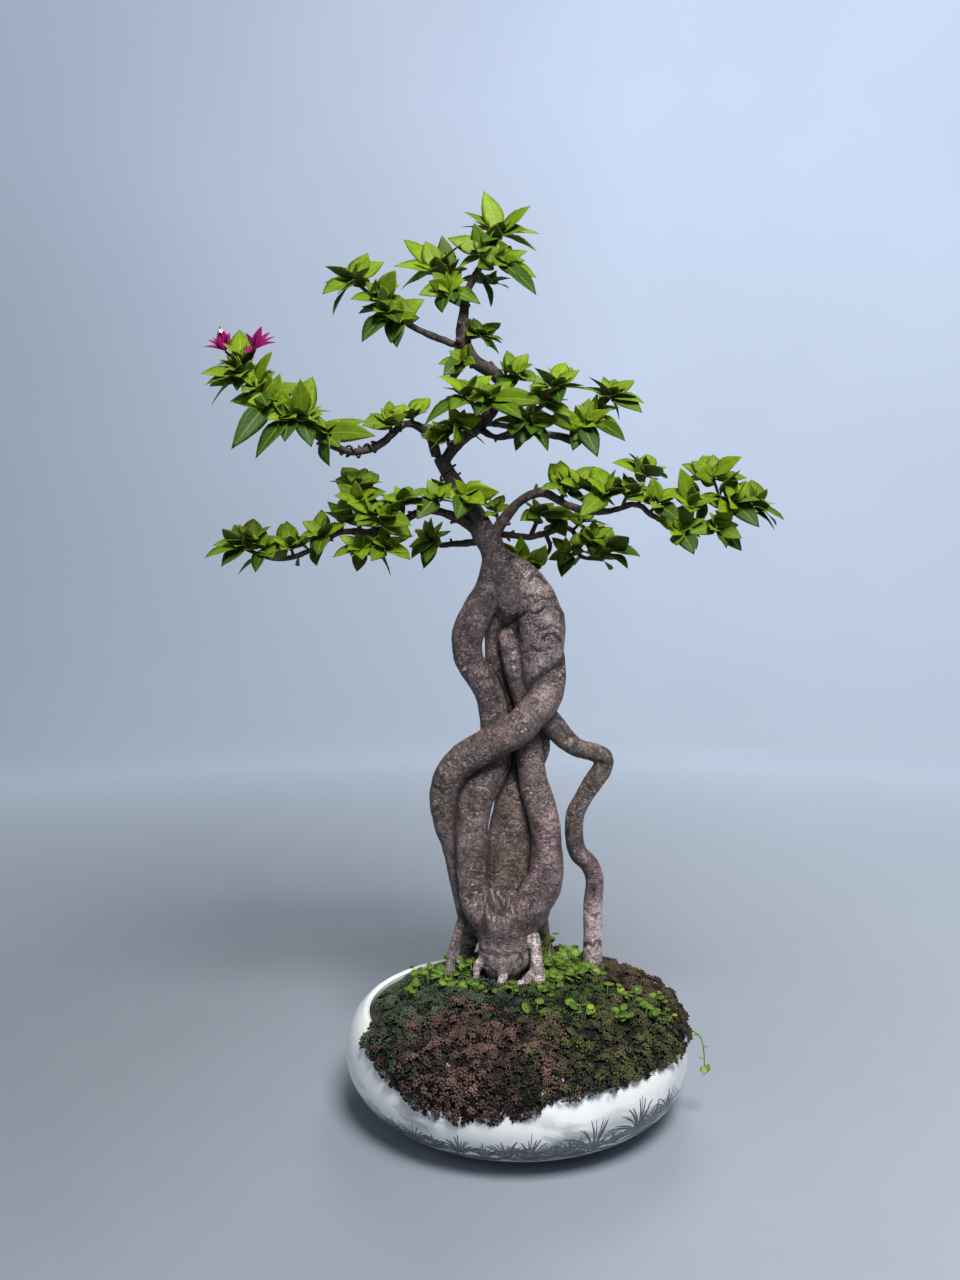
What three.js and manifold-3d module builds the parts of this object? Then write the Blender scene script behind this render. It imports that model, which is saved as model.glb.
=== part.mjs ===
// A bougainvillea bonsai in a round white bowl: a trunk of grown-together exposed roots, a wired crown of
// leafy shoots, soil, a drainage layer and living ground cover.
// Units are millimetres. The bowl's axis and underside are the origin, +Z is up and -Y is the tree's front.

import * as THREE from 'three';
import { mergeVertices } from 'three/addons/utils/BufferGeometryUtils.js';
import Module from 'manifold-3d';

const wasm = await Module();
wasm.setup();

// ---------------------------------------------------------------- driving dimensions

const GAP = 0.3;
const CLEARANCE = 0.4;
const MERGE_DISTANCE = 1e-4;

const FOOT_RADIUS = 112;
const BELLY_RADIUS = 180;
const BELLY_HEIGHT = 62;
const RIM_RADIUS = 164;
const MOUTH_RADIUS = 156;
const RIM_EDGE_HEIGHT = 103;
const RIM_HEIGHT = 105;
const WALL = 8;
const FLOOR = 9;

// how far the wall's curves run on from the foot, the belly, the rim and the mouth before they turn
const FOOT_PULL = 30;
const BELLY_PULL = 20;
const RIM_PULL_OUT = 10;
const RIM_PULL_DOWN = 7;
const INNER_FOOT_PULL = 26;
const INNER_BELLY_PULL_DOWN = 28;
const INNER_BELLY_PULL_UP = 22;
const MOUTH_DEPTH = 4;
const MOUTH_PULL_DOWN = 13;
const POT_SIDES = 32;
const CURVE_STEPS = 3;

const DRAIN_COUNT = 3;
const DRAIN_RADIUS = 8;
const DRAIN_RING = 40;
const DRAIN_SIDES = 12;
const MESH_SIDE = 30;
const MESH_THICKNESS = 1.2;
const MESH_HOLE = 3.6;
const MESH_PITCH = 6.6;
const CUT_THROUGH = 3;

const GRAVEL_TOP = 24;
const MOUND_EDGE_HEIGHT = 99;
const MOUND_HEIGHT = 132;
const MOUND_SHOULDER_RADIUS = 125;
const MOUND_SHOULDER_HEIGHT = 104;
const MOUND_CROWN_RADIUS = 80;
const MOUND_CROWN_HEIGHT = 130;

const TRUNK_SIDES = 8;
const TRUNK_RING_SPACING = 25;
const BRANCH_SIDES = 6;
const BRANCH_RING_SPACING = 15;
const STEM_SIDES = 4;
const STEM_RING_SPACING = 15;
const TWIG_SIDES = 3;
const TWIG_RING_SPACING = 60;
const TWIG_BASE_RADIUS = 1.9;
const TWIG_TIP_RADIUS = 1.2;
const PLACES_ON_STEM = 24;

const LEAF_WIDTH_RATIO = 0.57;
const UPRIGHT_LEAF_LIMIT = 0.3;
const LEAF_WIDEST_AT = 0.42;
const LEAF_THICKNESS = 1.1;
const LEAF_FOLD = 0.1;
const LEAF_ROOT = 1.6;
const LEAF_LENGTH = 40;
const LEAVES_PER_TUFT = 3;
const GOLDEN_ANGLE = Math.PI * (3 - Math.sqrt(5));
const TUFT_PHASE = 1.7;
const YOUNG_LEAF_SPREAD = 0.65;
const OLD_LEAF_SPREAD = 1.5;
const YOUNG_LEAF_SCALE = 0.8;
const LEAF_DROOP = 0.15;
const BRACT_WIDTH_RATIO = 0.4;
const ROUND_LEAF_WIDTH_RATIO = 0.9;

const WIRE_RADIUS = 1.1;
const WIRE_SIDES = 5;
const WIRE_STEPS_PER_TURN = 10;

const COVER_COLUMN_DEGREES = 15;
const COVER_ROWS = 3;

// ---------------------------------------------------------------- finishes

const finish = (color, roughness, metalness = 0) => (
  new THREE.MeshStandardMaterial({ color, roughness, metalness }));
const glaze = finish(0xeef0ee, 0.18);
const plasticMesh = finish(0x20231f, 0.6);
const gravelGrit = finish(0x8a7f70, 0.95);
const soilEarth = finish(0x33281f, 1);
const rootBark = finish(0x6d605a, 0.9);
const branchBark = finish(0x30241f, 0.85);
const leafGreen = finish(0x5b8a1e, 0.5);
const bractMagenta = finish(0xb3187a, 0.6);
const wireMetal = finish(0x3b2c24, 0.45, 0.8);
const mossGreen = finish(0x2f4a26, 0.9);
const mossPurple = finish(0x5f4443, 0.9);
const mossOlive = finish(0x4b4a2a, 0.9);
const mossBrown = finish(0x4a392c, 0.9);
const roundLeafGreen = finish(0x7fae3a, 0.6);

// ---------------------------------------------------------------- trunk and roots
// A route is a list of [x, y, z, radius] that the wood passes through, from its upper end to its lower one.

const trunkAboveRoots = [[-82, 6, 686, 8], [-64, 4, 656, 9], [-42, 0, 620, 12], [-28, 0, 592, 14],
  [-22, 0, 566, 13]];
const neck = [[-22, 0, 580, 15], [-12, 0, 560, 18], [-8, 0, 540, 17], [-9, 3, 522, 12]];
const leftFrontRoot = [[-25, 0, 581, 12], [-29, 0, 551, 14], [-41, -2, 523, 17], [-53, -2, 488, 16],
  [-39, 1, 453, 15], [-25, 7, 412, 15], [-20, 7, 367, 15], [-41, -5, 329, 18], [-47, -8, 280, 17],
  [-46, -9, 228, 16], [-26, -10, 192, 17]];
const shoulderBulge = [[-21, 2, 577, 13], [8, 1, 556, 18], [26, -1, 513, 24], [26, 0, 473, 22],
  [19, 7, 439, 13], [16, 9, 419, 9]];
const crossingRoot = [[30, 14, 505, 12], [37, 6, 471, 15], [29, -11, 431, 18], [-4, -20, 397, 18],
  [-57, -14, 366, 17], [-78, -4, 323, 15], [-68, 7, 276, 13], [-56, 11, 226, 14], [-44, 5, 182, 14]];
const rightFrontRoot = [[-14, 16, 500, 9], [-8, 4, 488, 11], [-3, 1, 465, 11], [9, 7, 425, 11],
  [13, 6, 380, 14], [25, -6, 316, 16], [32, -7, 265, 17], [30, -8, 238, 19], [8, -12, 208, 19],
  [-9, -11, 192, 19]];
const heel = [[22, -9, 214, 17], [6, -9, 196, 18], [-4, -8, 188, 19]];
const wideBackRoot = [[-18, 12, 535, 13], [-22, 20, 476, 12], [-16, 22, 437, 15], [-13, 24, 394, 14],
  [-4, 20, 321, 19], [-8, 19, 257, 27], [-12, 12, 208, 30]];
const stump = [[-16, -2, 200, 33], [-13, -4, 178, 29], [-13, -5, 157, 28], [-14, -5, 141, 20],
  [-14, -5, 130, 13], [-14, -5, 116, 10]];
const innerFold = [[4, 14, 545, 11], [-2, 17, 514, 12], [-10, 20, 488, 9]];
const freeRoot = [[28, 4, 415, 12], [51, 6, 387, 12], [79, 10, 371, 10], [94, 12, 360, 10], [83, 14, 340, 10],
  [63, 19, 294, 10], [67, 23, 260, 10], [85, 28, 216, 10], [84, 34, 168, 10], [85, 38, 104, 11]];
const knobBehind = [[20, 12, 400, 10], [29, 16, 376, 8], [17, 11, 347, 7]];
const soilRoots = [
  [[-48, 4, 201, 9], [-61, 2, 183, 6], [-70, -4, 152, 5], [-74, -8, 116, 4]],
  [[10, -14, 184, 8], [20, -22, 165, 6], [24, -31, 136, 6], [28, -36, 114, 4]],
  [[20, -25, 151, 5], [9, -33, 138, 4], [4, -38, 114, 4]],
  [[-12, -14, 157, 6], [-14, -29, 145, 5], [-15, -37, 129, 5], [-16, -38, 114, 5]],
  [[-30, -12, 161, 6], [-42, -18, 148, 5], [-43, -21, 114, 4]],
  [[20, 6, 206, 12], [32, 28, 168, 6], [42, 44, 112, 4]],
  [[-30, 14, 198, 13], [-50, 24, 166, 10], [-56, 39, 112, 6]],
  [[-12, 16, 185, 15], [-1, 34, 158, 10], [10, 52, 112, 6]],
];
const trunkRoutes = [trunkAboveRoots, neck, leftFrontRoot, shoulderBulge, crossingRoot, rightFrontRoot, heel,
  wideBackRoot, stump, innerFold, freeRoot, knobBehind, ...soilRoots];

// ---------------------------------------------------------------- woody branches
// Each route starts inside the wood it grows from.

const branchRoutes = {
  branch_leader: [[-79, 6, 680, 6.5], [-60, 2, 703, 6], [-39, -2, 718, 7], [-20, 8, 746, 6.5],
    [-14, 12, 761, 7], [-22, 13, 775, 7], [-46, 10, 790, 7.5], [-57, 6, 812, 7], [-56, 2, 840, 5.5],
    [-54, 1, 858, 5]],
  branch_flowering: [[-85, 5, 688, 6], [-93, 0, 709, 5], [-115, -8, 719, 4], [-144, -18, 695, 4],
    [-170, -26, 686, 4], [-195, -34, 695, 4], [-216, -41, 709, 4]],
  branch_upper_left: [[-58, 7, 803, 4], [-89, 2, 813, 3.5], [-115, -6, 823, 3]],
  branch_middle_right: [[-39, -2, 714, 4.5], [-21, -16, 703, 3], [-4, -26, 706, 6]],
  branch_back_right: [[-37, 0, 722, 4], [-14, 19, 722, 3], [27, 36, 717, 3.5], [47, 42, 715, 4],
    [63, 46, 712, 6]],
  branch_low_left: [[-39, 0, 604, 6.5], [-62, -8, 620, 5], [-97, -17, 627, 4], [-122, -18, 614, 4],
    [-149, -15, 605, 4.5], [-173, -10, 606, 3.5]],
  branch_second_left: [[-33, 6, 597, 5], [-58, 22, 596, 3.5], [-83, 32, 595, 3]],
  branch_low_right: [[-28, 0, 598, 7.5], [-12, -5, 621, 5.5], [4, -14, 638, 5], [25, -24, 645, 4.5],
    [48, -34, 632, 4], [73, -42, 623, 3.5], [100, -48, 625, 3], [113, -50, 630, 3]],
  branch_low_back: [[-24, 6, 603, 4], [-13, 16, 605, 3.5], [17, 34, 604, 3.5], [42, 44, 612, 3.5],
    [55, 48, 616, 3.5]],
};

// ---------------------------------------------------------------- leafy shoots
// A shoot has a stem route, tufts of leaves at [x, y, z] on twigs from the nearest place on the stem, and far
// leaves with the given tips, rooted at the nearest tuft. The rest of a tuft's leaves grow by one rule.

const shoots = {
  apex: {
    stem: [[-54, 1, 858, 4], [-39, 0, 885, 3.5], [-19, -2, 919, 2]],
    tufts: [[-19, -2, 919], [-36, -9, 896], [-14, -20, 881], [-30, 24, 873]],
    tips: [[-35, 8, 969], [14, -20, 941], [23, -14, 914], [-73, -8, 912], [-60, 14, 932], [-9, -30, 878],
      [20, -12, 869], [18, -44, 841]],
  },
  crown_left: {
    stem: [[-57, 2, 850, 3], [-69, 4, 863, 2.6], [-86, 4, 884, 2]],
    tufts: [[-86, 4, 884], [-74, -7, 858], [-72, 24, 882]],
    tips: [[-121, 22, 922], [-129, -10, 882], [-80, 20, 926], [-125, 36, 873], [-78, -24, 829]],
  },
  upper_left: {
    stem: [[-115, -6, 823, 2.8], [-135, -12, 837, 2.5], [-170, -20, 864, 1.8]],
    tufts: [[-170, -20, 864], [-140, -21, 846], [-137, -22, 828], [-124, -20, 824]],
    tips: [[-197, -36, 873], [-199, 2, 870], [-198, -46, 841], [-158, 4, 901], [-124, -40, 868],
      [-159, -40, 795], [-189, -36, 823], [-124, -30, 792]],
  },
  neck_left: {
    stem: [[-47, 11, 787, 2.4], [-59, -8, 783, 1.6]],
    tufts: [[-59, -8, 783]],
    tips: [[-77, -24, 765]],
    size: 28,
  },
  neck_right: {
    stem: [[-58, 6, 811, 2.6], [-39, 16, 817, 1.8]],
    tufts: [[-39, 16, 817]],
    tips: [[-16, 32, 836], [-14, 0, 808]],
    size: 34,
  },
  centre_right: {
    stem: [[-17, 13, 768, 2.6], [-3, -10, 771, 1.8]],
    tufts: [[-3, -10, 771]],
    tips: [[23, 6, 771], [-11, -2, 794], [-13, -22, 753]],
    size: 34,
  },
  front_left: {
    stem: [[-38, -3, 718, 3.5], [-44, -18, 732, 2.8], [-52, -30, 745, 2]],
    tufts: [[-52, -30, 745]],
    tips: [[-81, -48, 759], [-26, -20, 766], [-95, -50, 709], [-35, -54, 731]],
  },
  front_right: {
    stem: [[-27, 4, 735, 3], [-24, -22, 735, 2.4], [-29, -38, 738, 1.8]],
    tufts: [[-29, -38, 738]],
    tips: [[27, -62, 729], [3, -68, 711], [-6, -24, 759]],
  },
  fork_leaves: {
    stem: [[-70, 4, 693, 3], [-74, -13, 706, 1.8]],
    tufts: [[-74, -13, 706], [-58, -22, 714]],
    tips: [[-99, -30, 700], [-66, -44, 690]],
    size: 34,
  },
  middle_right: {
    stem: [[-4, -26, 706, 4], [13, -36, 722, 3], [32, -46, 738, 2.4], [38, -48, 748, 2]],
    tufts: [[38, -48, 748], [29, -36, 731], [14, -39, 710], [-2, -38, 716]],
    tips: [[82, -62, 738], [56, -22, 774], [18, -66, 762], [9, -64, 744], [52, -62, 714], [23, -54, 697]],
  },
  far_right: {
    stem: [[63, 46, 712, 4], [81, 44, 733, 3], [105, 42, 759, 2]],
    tufts: [[105, 42, 759], [84, 30, 730], [72, 24, 724]],
    tips: [[138, 20, 746], [135, 16, 735], [133, 58, 780], [77, 20, 775], [114, -4, 701], [115, 48, 733],
      [29, -10, 723]],
  },
  flower_spray: {
    stem: [[-216, -41, 709, 3.8], [-232, -44, 719, 3.4], [-256, -45, 738, 3], [-275, -43, 755, 2.6],
      [-280, -42, 774, 2]],
    tufts: [[-280, -42, 774], [-279, -51, 761], [-265, -54, 748], [-250, -55, 731], [-232, -55, 716],
      [-219, -51, 716]],
    tips: [[-289, -14, 815], [-294, -66, 787], [-315, -68, 756], [-216, -72, 751], [-309, -72, 744],
      [-317, -22, 734], [-281, -84, 679], [-258, -82, 670], [-227, -30, 756], [-206, -66, 684],
      [-193, -22, 729]],
  },
  flower_bend: {
    stem: [[-195, -34, 695, 2.6], [-198, -43, 703, 1.8]],
    tufts: [[-198, -43, 703]],
    tips: [[-188, -66, 665], [-142, -66, 695], [-157, -22, 719]],
    size: 34,
    leaves: 3,
  },
  flower_arch: {
    stem: [[-132, -13, 708, 2.4], [-132, -17, 719, 1.7]],
    tufts: [[-132, -17, 719]],
    tips: [[-134, 2, 745], [-159, -38, 711]],
    size: 32,
  },
  flower_arch_right: {
    stem: [[-109, -6, 718, 2.2], [-111, -9, 728, 1.7]],
    tufts: [[-111, -9, 728]],
    tips: [[-92, 12, 750]],
    size: 28,
    leaves: 3,
  },
  low_left_upright: {
    stem: [[-165, -11, 605, 2.6], [-167, -12, 632, 2.4], [-166, -12, 655, 2]],
    tufts: [[-166, -12, 655], [-165, -22, 638]],
    tips: [[-186, 10, 676], [-193, 8, 663], [-188, -34, 640], [-163, 14, 676], [-147, 14, 669],
      [-135, -28, 645]],
    size: 34,
    leaves: 3,
  },
  low_left_inner: {
    stem: [[-120, -18, 615, 2.8], [-118, -22, 636, 1.8]],
    tufts: [[-118, -22, 636]],
    tips: [[-115, 2, 655], [-93, -48, 640], [-134, 0, 647]],
    size: 32,
  },
  low_left_middle: {
    stem: [[-149, -15, 605, 2.8], [-150, -33, 623, 1.8]],
    tufts: [[-150, -33, 623], [-136, -30, 616]],
    tips: [[-135, -6, 640], [-125, -60, 617], [-108, -50, 608]],
    size: 32,
  },
  low_left_under: {
    stem: [[-162, -12, 605, 2.6], [-160, -17, 592, 2.2], [-146, -20, 586, 2], [-134, -22, 588, 1.6]],
    tufts: [[-134, -22, 588], [-165, -24, 586]],
    tips: [[-110, -42, 574], [-169, -42, 577]],
    size: 34,
  },
  low_left_outer: {
    stem: [[-173, -10, 606, 3.3], [-188, -6, 605, 3.2], [-212, 0, 590, 3], [-243, 5, 579, 2.8],
      [-261, 6, 579, 2.6], [-284, 5, 587, 2.2], [-294, 3, 592, 1.8]],
    tufts: [[-294, 3, 592], [-280, 1, 599], [-267, -4, 590], [-240, 1, 592], [-206, -8, 605], [-184, 2, 621]],
    tips: [[-307, -20, 608], [-325, -26, 577], [-271, -26, 562], [-284, 24, 623], [-255, 28, 618],
      [-247, 18, 620], [-192, 18, 629], [-216, 20, 625]],
    size: 34,
  },
  second_left: {
    stem: [[-83, 32, 595, 2.6], [-92, 28, 600, 2]],
    tufts: [[-92, 28, 600]],
    tips: [[-109, 4, 607], [-80, 52, 623], [-112, 4, 578], [-96, 0, 573]],
    size: 34,
  },
  trunk_middle: {
    stem: [[-60, 2, 650, 2.4], [-54, -17, 643, 1.8]],
    tufts: [[-54, -17, 643]],
    tips: [[-63, -40, 615], [-19, -34, 644]],
    size: 36,
    leaves: 3,
  },
  trunk_left: {
    stem: [[-64, 4, 656, 2.2], [-79, 10, 651, 1.6]],
    tufts: [[-79, 10, 651]],
    tips: [[-100, -4, 638]],
    size: 26,
    leaves: 3,
  },
  crotch: {
    stem: [[-18, -2, 612, 2.4], [-23, 6, 632, 1.7]],
    tufts: [[-23, 6, 632]],
    tips: [[-13, 20, 648]],
    size: 26,
  },
  low_left_crook: {
    stem: [[-84, -14, 626, 2.2], [-84, -21, 641, 1.6]],
    tufts: [[-84, -21, 641]],
    tips: [[-103, -44, 615]],
    size: 30,
    leaves: 3,
  },
  right_first: {
    stem: [[43, -32, 635, 3], [51, -26, 650, 2.1]],
    tufts: [[51, -26, 650], [68, -33, 649]],
    tips: [[35, 2, 679], [68, 2, 672], [76, -48, 657], [22, -52, 644]],
  },
  right_front: {
    stem: [[83, -44, 624, 2.8], [88, -54, 640, 1.9]],
    tufts: [[88, -54, 640]],
    tips: [[78, -26, 675], [58, -84, 613], [103, -34, 660], [105, -78, 642]],
    size: 36,
    leaves: 3,
  },
  right_second: {
    stem: [[104, -48, 626, 2.1], [110, -53, 641, 1.8]],
    tufts: [[110, -53, 641]],
    tips: [[122, -76, 629], [118, -28, 660]],
    size: 34,
    leaves: 3,
  },
  right_outer: {
    stem: [[113, -50, 630, 2.8], [123, -50, 628, 2.8], [131, -50, 621, 2.8], [151, -49, 611, 2.7],
      [181, -46, 609, 3.2], [210, -44, 618, 2.6], [240, -40, 631, 1.8]],
    tufts: [[240, -40, 631], [130, -38, 663], [140, -58, 632], [172, -54, 630], [196, -46, 659],
      [216, -52, 633], [200, -52, 603], [161, -54, 600]],
    tips: [[92, -64, 669], [136, -10, 687], [160, -62, 665], [192, -18, 684], [220, -70, 674],
      [223, -76, 649], [243, -18, 659], [247, -62, 644], [263, -66, 612], [272, -14, 611], [221, -66, 594],
      [155, -74, 586], [169, -22, 655]],
    leaves: 3,
  },
  back_first: {
    stem: [[16, 33, 604, 2.8], [27, 38, 630, 1.9]],
    tufts: [[27, 38, 630]],
    tips: [[66, 14, 624], [13, 62, 642]],
    size: 36,
  },
  back_second: {
    stem: [[42, 44, 612, 2.4], [43, 38, 624, 1.7]],
    tufts: [[43, 38, 624]],
    tips: [[32, 56, 640], [53, 12, 602]],
    size: 30,
  },
  back_outer: {
    stem: [[55, 48, 616, 3], [64, 52, 612, 2.8], [69, 54, 600, 2.6], [72, 54, 585, 2.4], [97, 54, 580, 1.8]],
    tufts: [[97, 54, 580], [87, 46, 604], [107, 54, 592], [58, 57, 586], [76, 46, 624]],
    tips: [[123, 26, 603], [110, 70, 617], [136, 30, 582], [101, 24, 567], [47, 36, 572]],
    size: 34,
    leaves: 3,
  },
  loop_leaves: {
    stem: [[33, 40, 607, 2.5], [38, 38, 594, 2.3], [33, 34, 584, 2.2], [9, 27, 578, 2], [-2, 25, 582, 1.6]],
    tufts: [[-2, 25, 582], [16, 28, 569]],
    tips: [[31, 2, 593], [23, 12, 560]],
    size: 28,
    leaves: 3,
  },
};

// Bracts stand on thin stalks beside the end of the flowering shoot.
const flowers = {
  flower_bracts_left: {
    stem: [[-281, -44, 772, 1.4], [-288, -50, 777, 1.3], [-294, -53, 782, 1.3]],
    tufts: [[-294, -53, 782]],
    tips: [[-299, -57, 806], [-289, -64, 796], [-314, -49, 795], [-315, -59, 785]],
    leaves: 0,
  },
  flower_bracts_right: {
    stem: [[-279, -42, 770, 1.4], [-270, -47, 777, 1.3], [-265, -51, 784, 1.3]],
    tufts: [[-265, -51, 784]],
    tips: [[-257, -55, 807], [-272, -61, 799], [-245, -47, 799], [-242, -57, 790]],
    leaves: 0,
  },
};

// A thin runner leaves the cover on the right and hangs outside the bowl.
const runner = {
  stem: [[176, -48, 96, 1.2], [185, -50, 89, 1.2], [189, -49, 74, 1.2], [190, -47, 58, 1.2]],
  tufts: [[190, -47, 58]],
  tips: [[188, -53, 51], [197, -44, 52]],
  size: 8,
  leaves: 3,
};

// ---------------------------------------------------------------- training wires
// Each coils round part of a route, between two fractions of its length.

const wires = {
  training_wire_fork: { route: trunkAboveRoots, from: 0.1, to: 0.2, coilRadius: 10.6, turns: 1.3 },
  training_wire_flowering: {
    route: branchRoutes.branch_flowering, from: 0.52, to: 0.8, coilRadius: 5.8, turns: 2.6,
  },
};

// ---------------------------------------------------------------- ground cover
// The cover is a thick skin over the soil that spills over the rim in front. Its cross-section runs from the
// axis outwards along two matching curves of [radius, height], and a place on it is a step from 0 to 1.

const coverTop = [[0, 141], [60, 139], [110, 130], [150, 119], [176, 108], [188, 94], [190, 78], [188, 60],
  [184, 50]];
const coverUnder = [[0, 125], [60, 121], [108, 111], [143, 100], [160, 97], [171, 85], [175, 74], [176, 60],
  [175, 50]];

// how far the cover reaches at each bearing, in degrees from +X
const coverReach = [[-180, 0.38], [-158, 0.42], [-142, 0.66], [-125, 0.81], [-114, 0.9], [-99, 0.89],
  [-88, 0.78], [-80, 0.7], [-54, 0.65], [-39, 0.66], [-15, 0.6], [0, 0.58], [15, 0.5], [30, 0.43],
  [60, 0.39], [90, 0.38], [180, 0.38]];

// Behind and to the left the cover sinks inside the rim: between these bearings, from one step to another.
const BACK_DIP = 13;
const DIP_FROM = 95;
const DIP_TO = 215;
const DIP_BLEND = 25;
const DIP_INNER_STEP = 0.12;
const DIP_OUTER_STEP = 0.38;
const COVER_CORE = 0.02;
const COVER_SEAM = 0.004;
const SEAM_DEGREES = 0.5;
const FRONT_BAND = 0.21;
const PATCH_INNER = 0.1;
const COLLAR_RADIUS = 34;
const COLLAR_HEIGHT = 80;

// where each kind of cover begins and ends, in degrees from +X
const PURPLE_FROM = -135;
const OLIVE_FROM = -80;
const BROWN_FROM = -20;
const BROWN_TO = 90;
const PATCH_FROM = -45;
const PATCH_TO = 15;

// ---------------------------------------------------------------- solids

function solid(geometry) {
  const bare = geometry.clone();
  bare.deleteAttribute('normal');
  bare.deleteAttribute('uv');
  const merged = mergeVertices(bare, MERGE_DISTANCE);
  const corners = merged.index.array;
  const faces = [];
  for (let i = 0; i < corners.length; i += 3) {
    const [a, b, c] = [corners[i], corners[i + 1], corners[i + 2]];
    if (a !== b && b !== c && c !== a) faces.push(a, b, c);
  }
  const vertProperties = Float32Array.from(merged.attributes.position.array);
  if (signedVolume(vertProperties, faces) < 0) faces.reverse();
  return new wasm.Manifold(new wasm.Mesh({ numProp: 3, vertProperties, triVerts: Uint32Array.from(faces) }));
}

function signedVolume(positions, faces) {
  const corner = (k) => new THREE.Vector3().fromArray(positions, faces[k] * 3);
  let total = 0;
  for (let i = 0; i < faces.length; i += 3) total += corner(i).dot(corner(i + 1).cross(corner(i + 2)));
  return total / 6;
}

function join(solids) {
  return solids.reduce((whole, part) => whole.add(part));
}

function nodeMesh(name, body, material) {
  const { vertProperties, triVerts } = body.getMesh();
  const geometry = new THREE.BufferGeometry();
  geometry.setAttribute('position', new THREE.BufferAttribute(Float32Array.from(vertProperties), 3));
  geometry.setIndex(new THREE.BufferAttribute(Uint32Array.from(triVerts), 1));
  geometry.computeVertexNormals();
  const mesh = new THREE.Mesh(geometry, material.clone());
  mesh.name = name;
  return mesh;
}

function curveOf(route) {
  const points = route.map(([x, y, z]) => new THREE.Vector3(x, y, z));
  return new THREE.CatmullRomCurve3(points, false, 'centripetal');
}

// A limb is a thin section extruded along its route, then swelled ring by ring to the radii along it.
// Extra thickness also lengthens it at both ends.
function limb(route, sides, ringSpacing, extra = 0) {
  const path = curveOf(route);
  const steps = Math.max(1, Math.round(path.getLength() / ringSpacing));
  const section = new THREE.Shape(Array.from({ length: sides }, (_, i) => {
    const turn = (i / sides) * Math.PI * 2;
    return new THREE.Vector2(Math.cos(turn), Math.sin(turn));
  }));
  const geometry = new THREE.ExtrudeGeometry(section, { steps, bevelEnabled: false, extrudePath: path });
  const centres = path.getSpacedPoints(steps);
  const vertices = geometry.attributes.position;
  const vertex = new THREE.Vector3();
  for (let i = 0; i < vertices.count; i += 1) {
    vertex.fromBufferAttribute(vertices, i);
    const ring = nearest(vertex, centres);
    const along = ring / steps;
    const radius = radiusAlong(route, path.getUtoTmapping(along, 0));
    vertex.sub(centres[ring]).multiplyScalar(radius + extra).add(centres[ring]);
    if (ring === 0) vertex.addScaledVector(path.getTangentAt(0), -extra);
    if (ring === steps) vertex.addScaledVector(path.getTangentAt(1), extra);
    vertices.setXYZ(i, vertex.x, vertex.y, vertex.z);
  }
  return solid(geometry);
}

function radiusAlong(route, position) {
  const place = position * (route.length - 1);
  const before = Math.min(Math.floor(place), route.length - 2);
  return THREE.MathUtils.lerp(route[before][3], route[before + 1][3], place - before);
}

function nearest(point, candidates) {
  let best = 0;
  candidates.forEach((candidate, i) => {
    if (point.distanceToSquared(candidate) < point.distanceToSquared(candidates[best])) best = i;
  });
  return best;
}

function turned(profile, sides) {
  const geometry = new THREE.LatheGeometry(profile, sides);
  geometry.rotateX(Math.PI / 2);
  return solid(geometry);
}

function cylinder(radius, height, x, y, z) {
  const geometry = new THREE.CylinderGeometry(radius, radius, height, DRAIN_SIDES);
  geometry.rotateX(Math.PI / 2);
  geometry.translate(x, y, z);
  return solid(geometry);
}

function block(width, depth, height, x, y, z) {
  const geometry = new THREE.BoxGeometry(width, depth, height);
  geometry.translate(x, y, z);
  return solid(geometry);
}

// ---------------------------------------------------------------- bowl, drainage and soil

function innerWall(grow) {
  const belly = BELLY_RADIUS - WALL - grow;
  const mouth = MOUTH_RADIUS - grow;
  const wall = new THREE.Path();
  wall.moveTo(0, FLOOR + grow);
  wall.lineTo(FOOT_RADIUS - WALL / 2 - grow, FLOOR + grow);
  wall.bezierCurveTo(belly - INNER_FOOT_PULL, FLOOR + WALL + grow,
    belly, BELLY_HEIGHT - INNER_BELLY_PULL_DOWN, belly, BELLY_HEIGHT);
  wall.bezierCurveTo(belly, BELLY_HEIGHT + INNER_BELLY_PULL_UP,
    mouth, RIM_EDGE_HEIGHT - MOUTH_PULL_DOWN, mouth, RIM_EDGE_HEIGHT - MOUTH_DEPTH);
  return wall;
}

function potProfile(grow) {
  const belly = BELLY_RADIUS + grow;
  const rim = RIM_RADIUS + grow;
  const outside = new THREE.Path();
  outside.moveTo(0, -grow);
  outside.lineTo(FOOT_RADIUS + grow, -grow);
  outside.bezierCurveTo(belly - FOOT_PULL, WALL - grow, belly, BELLY_HEIGHT / 2, belly, BELLY_HEIGHT);
  outside.bezierCurveTo(belly, BELLY_HEIGHT + BELLY_PULL,
    rim + RIM_PULL_OUT, RIM_EDGE_HEIGHT - RIM_PULL_DOWN, rim, RIM_EDGE_HEIGHT);
  outside.quadraticCurveTo((RIM_RADIUS + MOUTH_RADIUS) / 2, 2 * RIM_HEIGHT - RIM_EDGE_HEIGHT + 2 * grow,
    MOUTH_RADIUS - grow, RIM_EDGE_HEIGHT);
  return [...outside.getPoints(CURVE_STEPS), ...innerWall(grow).getPoints(CURVE_STEPS).reverse()];
}

function soilProfile(grow) {
  const mound = new THREE.CubicBezierCurve(
    new THREE.Vector2(MOUTH_RADIUS - GAP + grow, MOUND_EDGE_HEIGHT + grow),
    new THREE.Vector2(MOUND_SHOULDER_RADIUS, MOUND_SHOULDER_HEIGHT + grow),
    new THREE.Vector2(MOUND_CROWN_RADIUS, MOUND_CROWN_HEIGHT + grow),
    new THREE.Vector2(0, MOUND_HEIGHT + grow),
  );
  const wall = innerWall(GAP - grow).getPoints(CURVE_STEPS).filter(({ y }) => y < MOUND_EDGE_HEIGHT - GAP);
  return [...wall, ...mound.getPoints(CURVE_STEPS)];
}

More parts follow.
